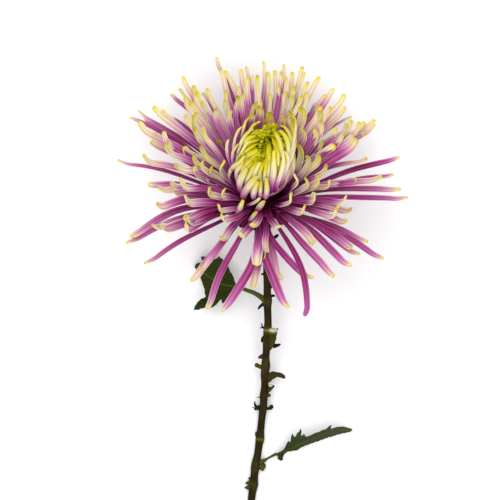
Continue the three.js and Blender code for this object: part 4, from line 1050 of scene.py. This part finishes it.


# ---- Leaves ----

# Leaves, heading from the stem to the leaf's tip. The petiole is [right, up, height, width] and the midrib's
# line, rib, [right, up, height]; left and right are the margins as seen from straight above. bank is the
# blade's rise towards its left, and fold its drop from the midrib to both margins, over the distance.
# grey is how much painted grey sheen its tip has.
LEAVES = [
    {
        "name": "leaf_near_bloom", "bank": 0.12, "fold": -0.12, "grey": 0.1,
        "petiole": [
            (3, -48.6, -22.4, 3.6), (1, -46.4, -22.6, 2.9), (-3, -43.8, -24.2, 2.3), (-7, -42.3, -25.8, 2.0),
            (-11.4, -40.7, -27.6, 1.7),
        ],
        "rib": [(-10.6, -40.8, -27.3), (-19.5, -39.3, -31.5), (-26, -35.5, -36), (-32.5, -31.4, -40.2)],
        "left": [
            (-11.2, -41), (-13.5, -43), (-16, -46), (-18.8, -49), (-20, -47), (-21.8, -49), (-24, -50.7),
            (-28, -51), (-31.7, -52.2), (-33.6, -52), (-32.6, -49.5), (-30.5, -47), (-27.6, -45.5),
            (-28.2, -44), (-28.2, -42), (-29, -39.9), (-29.8, -37.5), (-31.5, -33.3), (-32.8, -31.8),
        ],
        "right": [
            (-11.2, -40.5), (-12.9, -38.2), (-13.8, -35.2), (-15.3, -33), (-16.7, -29.7), (-18.6, -27.4),
            (-20.9, -25.4), (-22.2, -26.4), (-23.4, -26.6), (-25, -25.7), (-27.3, -25.2), (-30, -25.8),
            (-29.2, -27.8), (-29.4, -28.5), (-30.7, -28.5), (-32.3, -28.9), (-33.1, -30), (-33.1, -31.2),
            (-32.8, -31.4),
        ],
    },
    {
        "name": "leaf_near_cut", "bank": 0.85, "fold": 0.1, "grey": 0.8,
        "petiole": [
            (-0.6, -129.4, -39, 3.4), (1.6, -128, -38.9, 2.0), (3.6, -126.8, -38.5, 1.1),
            (7.8, -124.6, -37.2, 1.6),
        ],
        "rib": [
            (7, -125, -37.5), (15, -122, -36), (20, -119.6, -35.2), (26.5, -116.8, -34.6),
            (35, -113.5, -34.4), (41.5, -112.2, -35.2), (45.8, -112.2, -36.2),
        ],
        "left": [
            (7.2, -124.6), (11.5, -122.3), (13.6, -118.2), (14.8, -118.4), (15.7, -114.4), (16.7, -115.7),
            (17.8, -115.2), (20.2, -111.8), (20.4, -115.2), (21.7, -114.6), (23.2, -115.7), (28.5, -113.6),
            (32.7, -111.8), (35.8, -109.8), (35.2, -112), (37.7, -111.1), (41.4, -110.8), (46.1, -112),
        ],
        "right": [
            (7.2, -125.2), (8.4, -125.6), (8.9, -127.6), (11.1, -127.7), (11.6, -125.2), (14, -123.4),
            (17.8, -122.9), (21, -121), (24, -119.9), (26.5, -119), (29.5, -118), (32, -117), (34.3, -116.3),
            (36.5, -115.7), (38.5, -115), (41.8, -114.2), (44.8, -113.6), (46.2, -112.6),
        ],
    },
]
LEAF_FINENESS = 5  # vertices of a fine margin to each point of its outline
LEAF_GRID = 0.6  # spacing of a blade's inner vertices
LEAF_GRID_SHIFT = 0.31  # how far every other one is moved, over the spacing
LEAF_THICKNESS = 0.45
LEAF_CLEAR = 0.02  # least height of the under side over the surface
LEAF_HEIGHTS = {"softness": 0.05, "power": 1.5}  # how a vertex's height is weighed between the known points'
LEAF_CLOSEST = 1e-5  # vertices that are nearer to each other are one
# The waves of a blade: their height, the radians from one point of its margin to the next, and the distance
# from the midrib where they are full. And its teeth: their depth, the share of one from vertex to vertex, and
# where they are full.
LEAF_WAVE = {"height": 0.6, "turn": 1.3, "full_at": 6}
LEAF_TEETH = {"depth": 0.7, "pace": 0.21, "full_at": 5}
LEAF_SPAN = 40  # distance from the midrib that fills half of its colour coordinate
PETIOLE = {"rings": 30, "sides": 16, "flat": 0.8}


def leaf_frame(leaf):
    """The points that a blade goes through: the midrib's, then the left margin's and the right margin's."""
    count = len(leaf["left"])
    middles = smooth_line(leaf["rib"], np.linspace(0, 1, count))
    lines = [middles]
    for margin, way in ((leaf["left"], 1), (leaf["right"], -1)):
        margin = np.array(margin)
        reach = np.linalg.norm(margin - middles[:, :2], axis=1)
        wave = np.sin(np.arange(count) * LEAF_WAVE["turn"] + way)
        wave = wave * np.minimum(1, reach / LEAF_WAVE["full_at"])
        height = middles[:, 2] + (way * leaf["bank"] - leaf["fold"]) * reach + LEAF_WAVE["height"] * wave
        lines.append(np.column_stack([margin, height]))
    return lines


def toothed(margin, rib, shares):
    """A margin's line as seen from above, with small teeth off the midrib."""
    line = smooth_line(margin, shares)[:, :2]
    off = line - rib
    reach = np.linalg.norm(off, axis=1)
    teeth = LEAF_TEETH["depth"] * (np.arange(len(line)) * LEAF_TEETH["pace"] % 1 - 0.5)
    teeth = teeth * np.minimum(1, reach / LEAF_TEETH["full_at"])
    return line + off / reach[:, None].clip(0.1) * teeth[:, None]


def blade_plan(middles, left, right):
    """A blade's vertices, triangles and midrib, as seen from above."""
    fine = np.linspace(0, 1, LEAF_FINENESS * len(left))
    rib = smooth_line(middles, fine)[:, :2]
    outline = np.concatenate([rib[:1], toothed(right, rib, fine), rib[-1:], toothed(left, rib, fine)[::-1]])
    columns = (np.arange(low, high, LEAF_GRID) for low, high in zip(outline.min(0), outline.max(0)))
    grid = np.stack(np.meshgrid(*columns), -1).reshape(-1, 2)
    grid[::2] += LEAF_GRID_SHIFT * LEAF_GRID
    inner = rib[1:-1]
    points = [Vector(point) for point in np.concatenate([outline, inner, grid])]
    count = len(outline)
    edges = [(i, (i + 1) % count) for i in range(count)]
    edges += [(count + i, count + i + 1) for i in range(len(inner) - 1)]
    plan, _, faces, *_ = delaunay_2d_cdt(points, edges, [], 1, LEAF_CLOSEST)
    used = np.unique([corner for face in faces for corner in face])
    renumber = {old: new for new, old in enumerate(used)}
    plan = np.array([tuple(point) for point in plan])[used]
    return plan, [[renumber[corner] for corner in face] for face in faces], rib


def sheet_faces(faces, total):
    """The faces of a sheet from those of its upper side, with as many vertices again for its under side."""
    sides = dict.fromkeys((a, b) for face in faces for a, b in zip(face, face[1:] + face[:1]))
    walls = [(b, a, a + total, b + total) for a, b in sides if (b, a) not in sides]
    return faces + [[corner + total for corner in face[::-1]] for face in faces] + walls


def leaf_body(leaf):
    """A leaf's blade, over its outline as seen from above, at heights between its known points'."""
    lines = leaf_frame(leaf)
    plan, faces, rib = blade_plan(*lines)
    known = np.concatenate(lines)
    square = ((plan[:, None] - known[None, :, :2]) ** 2).sum(-1)
    weights = 1 / (square + LEAF_HEIGHTS["softness"]) ** LEAF_HEIGHTS["power"]
    height = (weights * known[:, 2]).sum(1) / weights.sum(1)
    to_rib = ((plan[:, None] - rib[None]) ** 2).sum(-1)
    nearest = to_rib.argmin(1)
    way = np.gradient(rib, axis=0)[nearest]
    off = plan - rib[nearest]
    side = np.sign(way[:, 0] * off[:, 1] - way[:, 1] * off[:, 0])
    across = 0.5 + side * np.sqrt(to_rib.min(1)) / LEAF_SPAN
    deep = LEAF_THICKNESS * math.hypot(1, leaf["bank"] + abs(leaf["fold"]))
    top = np.column_stack([plan, np.maximum(height, deep - RECEPTACLE[2] + LEAF_CLEAR)])
    total = len(top)
    values = [nearest / (len(rib) - 1), across, np.full(total, leaf["grey"]), np.ones(total)]
    values = np.column_stack(values)
    values = np.concatenate([values, values * (1, 1, 1, 0)])
    return np.concatenate([top, top - (0, 0, deep)]), sheet_faces(faces, total), values


def petiole_body(leaf):
    smooth = smooth_line(leaf["petiole"], np.linspace(0, 1, PETIOLE["rings"]))
    line, half = smooth[:, :3], smooth[:, 3] / 2
    line[:, 2] = np.maximum(line[:, 2], half - RECEPTACLE[2])
    stages = np.zeros(PETIOLE["rings"])
    vertices, faces, values = tube(line, half, PETIOLE["flat"], stages, PETIOLE["sides"], leaf["grey"])
    values[:, [1, 3]] = 0.5, 1
    return vertices, faces, values


# ---- Involucre ----

CUP_PROFILE = [
    (2.2, -9), (3.2, -8.8), (4.4, -7.4), (6.2, -5.8), (7.6, -4.6), (8.6, -2.8), (9, -1.4), (8.7, 0), (2, 0),
]
CUP_SIDES = 48
# Rows of bracts on the cup: the heights of their tips and feet on the axis, and how far a row is turned, as
# a share of its spacing.
BRACT_ROWS = table(
    "count top foot width shift",
    (16, 0.6, -5.6, 3.2, 0.0),
    (14, -1.4, -7.2, 3.0, 0.5),
    (11, -3.6, -8.4, 2.8, 0.25),
)
BRACT_WIDTH_ALONG = [(0, 0.8), (0.5, 1), (0.8, 0.75), (1, 0.25)]
BRACT = {"rings": 15, "off_cup": 0.1, "tip_off": 0.9, "roll": -0.5}
BRACT_STRAP = {"rib": 0.03, "thickness": 0.35}


def bract(row, i):
    """A bract pressed to the cup, its tip standing off a little."""
    phi = 2 * math.pi * (i + row["shift"]) / row["count"]
    shares = np.linspace(0, 1, BRACT["rings"])
    heights = row["foot"] + (row["top"] - row["foot"]) * shares
    radii = interpolate(heights, [(height, radius) for radius, height in CUP_PROFILE[1:-1]])
    radii = radii + BRACT["off_cup"] + BRACT["tip_off"] * shares**2
    line = np.array([about_axis(phi, radius, height) for radius, height in zip(radii, heights)])
    normals = np.tile(outward(phi), (len(shares), 1))
    width = row["width"] * interpolate(shares, BRACT_WIDTH_ALONG)
    roll = BRACT["roll"] * np.ones(len(shares))
    return strap(line, shares, normals, width, roll, petal_coordinates(shares, shares, i), **BRACT_STRAP)


def involucre_bodies():
    bracts = [bract(row, i) for row in BRACT_ROWS for i in range(row["count"])]
    return [turned_body(CUP_PROFILE, CUP_SIDES)] + bracts


# ---- Materials ----


def linear(hex_colour):
    """A linear colour from a six-digit sRGB one."""
    channels = [int(hex_colour[i : i + 2], 16) / 255 for i in (0, 2, 4)]
    return tuple(c / 12.92 if c <= 0.04045 else ((c + 0.055) / 1.055) ** 2.4 for c in channels) + (1.0,)


class Value:
    """A value that a material's nodes work out, to reckon with as with a number."""

    def __init__(self, nodes, socket):
        self.nodes = nodes
        self.socket = socket

    def __add__(self, other):
        return self.nodes.math("ADD", self, other)

    def __sub__(self, other):
        return self.nodes.math("SUBTRACT", self, other)

    def __rsub__(self, other):
        return self.nodes.math("SUBTRACT", other, self)

    def __mul__(self, other):
        return self.nodes.math("MULTIPLY", self, other)

    def __pow__(self, power):
        return self.nodes.math("POWER", self, power)

    def __abs__(self):
        return self.nodes.math("ABSOLUTE", self)


class Nodes:
    """A material's node tree, built one node at a time. Inputs are Values, numbers or sRGB colours."""

    def __init__(self, name):
        self.material = bpy.data.materials.new(name)
        self.material.use_nodes = True
        self.tree = self.material.node_tree
        self.shader = self.tree.nodes["Principled BSDF"]

    def add(self, kind, output, settings=(), **inputs):
        """One output of a new node."""
        node = self.tree.nodes.new(kind)
        for key, value in dict(settings).items():
            setattr(node, key, value)
        self.feed(node, **inputs)
        return Value(self, node.outputs[output])

    def feed(self, node, **inputs):
        """Joins or sets a node's inputs, by their names, or by their numbers as _0 and so on."""
        for key, value in inputs.items():
            socket = node.inputs[int(key[1:]) if key[0] == "_" else key.replace("_", " ")]
            if isinstance(value, Value):
                self.tree.links.new(value.socket, socket)
            else:
                socket.default_value = linear(value) if isinstance(value, str) else value

    def coordinates(self):
        """The four colour coordinates of the mesh."""
        colour = self.add("ShaderNodeAttribute", "Color", {"attribute_name": "petal"})
        part = self.add("ShaderNodeSeparateColor", 0, Color=colour)
        sockets = [*part.socket.node.outputs, colour.socket.node.outputs["Alpha"]]
        return [Value(self, socket) for socket in sockets]

    def math(self, operation, *values):
        inputs = {f"_{i}": value for i, value in enumerate(values)}
        return self.add("ShaderNodeMath", 0, {"operation": operation}, **inputs)

    def mix(self, factor, first, second, blend_type="MIX"):
        settings = {"data_type": "RGBA", "blend_type": blend_type}
        return self.add("ShaderNodeMix", 2, settings, _0=factor, _6=first, _7=second)

    def ramp(self, value, stops):
        """A colour, or a grey from a number, between (place, colour) stops."""
        colour = self.add("ShaderNodeValToRGB", "Color", Fac=value)
        elements = colour.socket.node.color_ramp.elements
        while len(elements) < len(stops):
            elements.new(0.5)
        for element, (place, stop) in zip(elements, stops):
            element.position = place
            element.color = linear(stop) if isinstance(stop, str) else (stop, stop, stop, 1)
        return colour

    def place(self):
        return self.add("ShaderNodeTexCoord", "Object")

    def vector(self, x, y, z):
        return self.add("ShaderNodeCombineXYZ", 0, X=x, Y=y, Z=z)

    def noise(self, vector, scale=1.0, detail=2.0):
        return self.add("ShaderNodeTexNoise", "Fac", Vector=vector, Scale=scale, Detail=detail)

    def finish(self, bump, bump_height, **inputs):
        """The material, with a surface that rises by the bump's values, and the shader's other inputs."""
        normal = self.add("ShaderNodeBump", 0, Height=bump, Distance=bump_height, Strength=1.0)
        self.feed(self.shader, Normal=normal, **inputs)
        return self.material


PETAL_STAGES = [
    (0.0, "26000e"), (0.07, "4a0026"), (0.16, "74104c"), (0.28, "983a78"), (0.42, "ba6aa3"),
    (0.52, "cc95b3"), (0.62, "dfbeb2"), (0.7, "ead9b6"), (0.77, "e8dc9c"), (0.83, "e4d760"),
    (0.89, "e0cf25"), (0.93, "d2c404"), (0.965, "9c9e04"), (1.0, "4a5602"),
]
# How pale a petal's margins are, by the stage: their own paler edge, with a painted highlight on it.
PALE_MARGIN_HIGHLIGHTS = [(0.15, 0), (0.3, 0.1), (0.45, 0.25), (0.65, 0.4), (0.85, 0.25), (0.92, 0)]
# the pale cream of the margins, partly a painted highlight
PALE_MARGIN_HIGHLIGHT = "f4ecd6"
PALE_MARGIN_HIGHLIGHT_POWER = 6  # how closely the paleness and its painted highlight keep to the margins
# How far streaks, veins, the floret's tone and its grooves move the colour through its stages.
PETAL_MOVES = {"streaks": 0.32, "veins": 0.14, "tone": 0.05, "grooves": 0.03}
GROOVE_SHADE = 0.09  # half of how much darker painted shade makes a groove than a rib
# How often streaks and veins change across a floret, along it and from one tone to the next.
STREAK_PACES = (12.0, 2.2, 60.0)
VEIN_PACES = (26.0, 3.0, 30.0)


def petal_material():
    """Satin petal: its colour follows the stage along each floret, with streaks, and painted shade in the
    grooves.
    """
    nodes = Nodes("petal")
    stage, across, tone, share = nodes.coordinates()

    def streaky(paces, detail):
        by = zip((across, share, tone), paces)
        return nodes.noise(nodes.vector(*(value * pace for value, pace in by)), detail=detail)

    streaks, veins = streaky(STREAK_PACES, 3.0), streaky(VEIN_PACES, 2.0)
    groove = nodes.math("COSINE", across * (4 * math.pi))
    moved = stage + (streaks - 0.5) * PETAL_MOVES["streaks"] + (veins - 0.5) * PETAL_MOVES["veins"]
    moved = moved + (tone - 0.5) * PETAL_MOVES["tone"] + groove * PETAL_MOVES["grooves"]
    # painted highlight: the margins are mixed towards pale cream, over their own paler edge
    margin_paleness_and_highlight = abs(across * 2.0 - 1.0) ** PALE_MARGIN_HIGHLIGHT_POWER * nodes.ramp(stage, PALE_MARGIN_HIGHLIGHTS)
    colour = nodes.mix(margin_paleness_and_highlight, nodes.ramp(moved, PETAL_STAGES), PALE_MARGIN_HIGHLIGHT)
    # painted shade: the grooves between the ribs are darkened in the colour
    shade = groove * GROOVE_SHADE + (1 - GROOVE_SHADE)
    grey = nodes.add("ShaderNodeCombineColor", 0, Red=shade, Green=shade, Blue=shade)
    return nodes.finish(
        bump=veins, bump_height=0.12 * MM, Base_Color=nodes.mix(1.0, colour, grey, "MULTIPLY"),
        Roughness=0.55, Specular_IOR_Level=0.03, Subsurface_Weight=0.28, Subsurface_Radius=(1.0, 0.5, 0.6),
        Subsurface_Scale=1.2 * MM,
    )


STEM_STAGES = [
    (0.0, "060702"), (0.2, "141105"), (0.4, "2b240e"), (0.55, "3c3714"), (0.68, "504f14"), (0.8, "82822a"),
    (1.0, "d0ccc0"),
]
STEM_MOVES = {"streaks": 0.42, "blotches": 0.3}  # how far they move the colour through its stages
STEM_STREAKS = (1900, 90, 1900)  # how often streaks change along each axis, to the metre
CUT_CLEAR = 6  # the power by which a cut is kept clear of both


def stem_material():
    """Ridged olive-brown stem with fine streaks along it, paler at the nodes and at the cuts."""
    nodes = Nodes("stem")
    stage = nodes.coordinates()[0]
    place = nodes.place()
    streaks = nodes.noise(nodes.add("ShaderNodeMapping", 0, Vector=place, Scale=STEM_STREAKS), detail=3.0)
    blotches = nodes.noise(place, scale=160, detail=3.0)
    move = (streaks - 0.5) * STEM_MOVES["streaks"] + (blotches - 0.5) * STEM_MOVES["blotches"]
    colour = nodes.ramp(stage + move * (1.0 - stage**CUT_CLEAR), STEM_STAGES)
    return nodes.finish(
        bump=streaks, bump_height=0.16 * MM, Base_Color=colour, Roughness=0.55, Specular_IOR_Level=0.04
    )


LEAF_VEINS = 7  # pairs of side veins
LEAF_VEIN_SLANT = 0.055  # how far they run forward, as a share of the leaf to a millimetre off the midrib
LEAF_VEIN_START = 20.0  # a whole number that keeps their phase over 0
LEAF_VEIN_PACE = 9.0  # how fast a side vein fades off its line, over the space from one to the next
LEAF_VEIN_SOFTNESS = 0.2
LEAF_RIB_PACE = 1.6  # how fast the midrib fades, to a millimetre off its line
# LEAF_SHEEN is the colour of a painted grey sheen
LEAF_DARK, LEAF_LIGHT, LEAF_SHEEN, LEAF_VEIN, LEAF_RIB = "141c04", "39420e", "4a5244", "4a5420", "525c22"
LEAF_SHARES = {"sheen": 0.75, "veins": 0.28, "rib": 0.75, "grey_rib": 0.5}  # of each colour, at most
LEAF_RELIEF = {"veins": -0.6, "mottle": 0.5}  # how high they stand, over the bump's height


def leaf_material():
    """Matt dark green leaf with a paler midrib and side veins, and a painted grey sheen towards the tip."""
    nodes = Nodes("leaf")
    along, across, grey, _ = nodes.coordinates()
    off = abs((across - 0.5) * LEAF_SPAN)
    phase = nodes.math("FRACT", (along - off * LEAF_VEIN_SLANT) * LEAF_VEINS + LEAF_VEIN_START)
    vein = nodes.math("SMOOTH_MAX", 1.0 - abs(phase - 0.5) * LEAF_VEIN_PACE, 0.0, LEAF_VEIN_SOFTNESS)
    rib = nodes.math("MAXIMUM", 1.0 - off * LEAF_RIB_PACE, 0.0)
    mottle = nodes.noise(nodes.place(), scale=900, detail=4.0)
    colour = nodes.mix(mottle, LEAF_DARK, LEAF_LIGHT)
    # painted sheen: the blade is mixed greyer towards its tip, by the leaf's grey, and the midrib fades under
    # it
    colour = nodes.mix(along * grey * LEAF_SHARES["sheen"], colour, LEAF_SHEEN)
    colour = nodes.mix(vein * LEAF_SHARES["veins"], colour, LEAF_VEIN)
    colour = nodes.mix(rib * (LEAF_SHARES["rib"] - grey * LEAF_SHARES["grey_rib"]), colour, LEAF_RIB)
    height = vein * LEAF_RELIEF["veins"] + mottle * LEAF_RELIEF["mottle"]
    return nodes.finish(
        bump=height, bump_height=0.25 * MM, Base_Color=colour, Roughness=0.6, Specular_IOR_Level=0.04
    )


BRACT_DARK, BRACT_LIGHT, BRACT_MARGIN = "2c3a1a", "55683a", "b9b28e"
BRACT_MARGIN_POWER = 5  # how closely the pale margin keeps to the edge
BRACT_PALENESS = 0.7  # of the very edge


def bract_material():
    """Matt green bracts with pale papery margins."""
    nodes = Nodes("bract")
    across = nodes.coordinates()[1]
    streaks = nodes.noise(nodes.place(), scale=1200, detail=3.0)
    margin = abs(across * 2.0 - 1.0) ** BRACT_MARGIN_POWER * BRACT_PALENESS
    colour = nodes.mix(margin, nodes.mix(streaks, BRACT_DARK, BRACT_LIGHT), BRACT_MARGIN)
    return nodes.finish(bump=streaks, bump_height=0.1 * MM, Base_Color=colour, Roughness=0.7)


# ---- Camera, light and floor ----

VIEW_WIDTH = 250  # of the picture, at the receptacle's height
LENS = 1000
SENSOR = 36
VIEW_CENTRE = (-5.4, -22.1)  # from the receptacle
CLIP_END = 20  # metres


def set_view():
    camera = bpy.data.objects.new("camera", bpy.data.cameras.new("camera"))
    camera.data.lens = LENS
    camera.data.sensor_width = SENSOR
    camera.data.clip_end = CLIP_END
    distance = VIEW_WIDTH * LENS / SENSOR
    camera.location = (RECEPTACLE + np.array([*VIEW_CENTRE, distance])) * MM
    bpy.context.scene.collection.objects.link(camera)
    bpy.context.scene.camera = camera
    bpy.context.scene.view_settings.view_transform = "Standard"


# Soft lamps, which face the bloom: places and sizes in metres, power in watts.
LIGHTS = table(
    "name place size power",
    ("key", (-1.3, 1.2, 3.4), 3.0, 96),
    ("fill", (1.7, 0.4, 3.2), 3.0, 46),
    ("low_fill", (0.2, -2.0, 2.8), 3.0, 56),
)
SKY_STRENGTH = 0.4


def set_lights():
    for light in LIGHTS:
        data = bpy.data.lights.new(light["name"], "AREA")
        data.size = light["size"]
        data.energy = light["power"]
        lamp = bpy.data.objects.new(light["name"], data)
        lamp.location = light["place"]
        aim_at = np.array(light["place"]) - RECEPTACLE * MM
        lamp.rotation_euler = Vector(aim_at).to_track_quat("Z", "Y").to_euler()
        bpy.context.scene.collection.objects.link(lamp)
    world = bpy.data.worlds.new("studio")
    world.use_nodes = True
    sky = world.node_tree.nodes["Background"].inputs
    sky["Color"].default_value = (1, 1, 1, 1)
    sky["Strength"].default_value = SKY_STRENGTH
    bpy.context.scene.world = world


FLOOR_HALF = 3.0  # metres
FLOOR_COLOUR = (0.9, 0.9, 0.9, 1)


def set_floor():
    mesh = bpy.data.meshes.new("floor")
    corners = [(x * FLOOR_HALF, y * FLOOR_HALF, 0) for x, y in ((-1, -1), (1, -1), (1, 1), (-1, 1))]
    mesh.from_pydata(corners, [], [(0, 1, 2, 3)])
    nodes = Nodes("floor")
    nodes.feed(nodes.shader, Base_Color=FLOOR_COLOUR, Roughness=0.8)
    mesh.materials.append(nodes.material)
    floor = bpy.data.objects.new("floor", mesh)
    bpy.context.scene.collection.objects.link(floor)


set_view()
set_lights()
set_floor()

# ---- The flower's pieces ----

petal = petal_material()
florets = placed_florets(PLACED_WHORLS) + inner_florets() + fanned_florets(FANS[0])
florets += placed_florets([FILLING_WHORL]) + fanned_florets(FANS[1]) + fanned_florets(FANS[2])
rays = [floret_body(floret, seed) for seed, floret in enumerate(florets)]
outer = sum(len(whorl["tips"]) for whorl in PLACED_WHORLS[:2])
core = turned_body(CORE_PROFILE, CORE_SIDES)
make_piece("outer_rays", rays[:outer], petal, "ray_florets")
make_piece("inner_rays", [core] + rays[outer:], petal, "ray_florets")

grid = ball_grid()
ball = [ball_core()] + ball_florets() + eye_tips(grid) + crowded_tips(grid)
ball += [placed_incurved(spec, seed, grid) for seed, spec in enumerate(PLACED_INCURVED + FORE_FLORETS)]
make_piece("ball", ball, petal, "incurved_florets")

make_piece("fine_stem", stem_bodies(), stem_material(), "stem")
make_piece("bracts", involucre_bodies(), bract_material(), "involucre")
leaf_look = leaf_material()
for leaf in LEAVES:
    make_piece(f"fine_{leaf['name']}", [leaf_body(leaf), petiole_body(leaf)], leaf_look, leaf["name"])
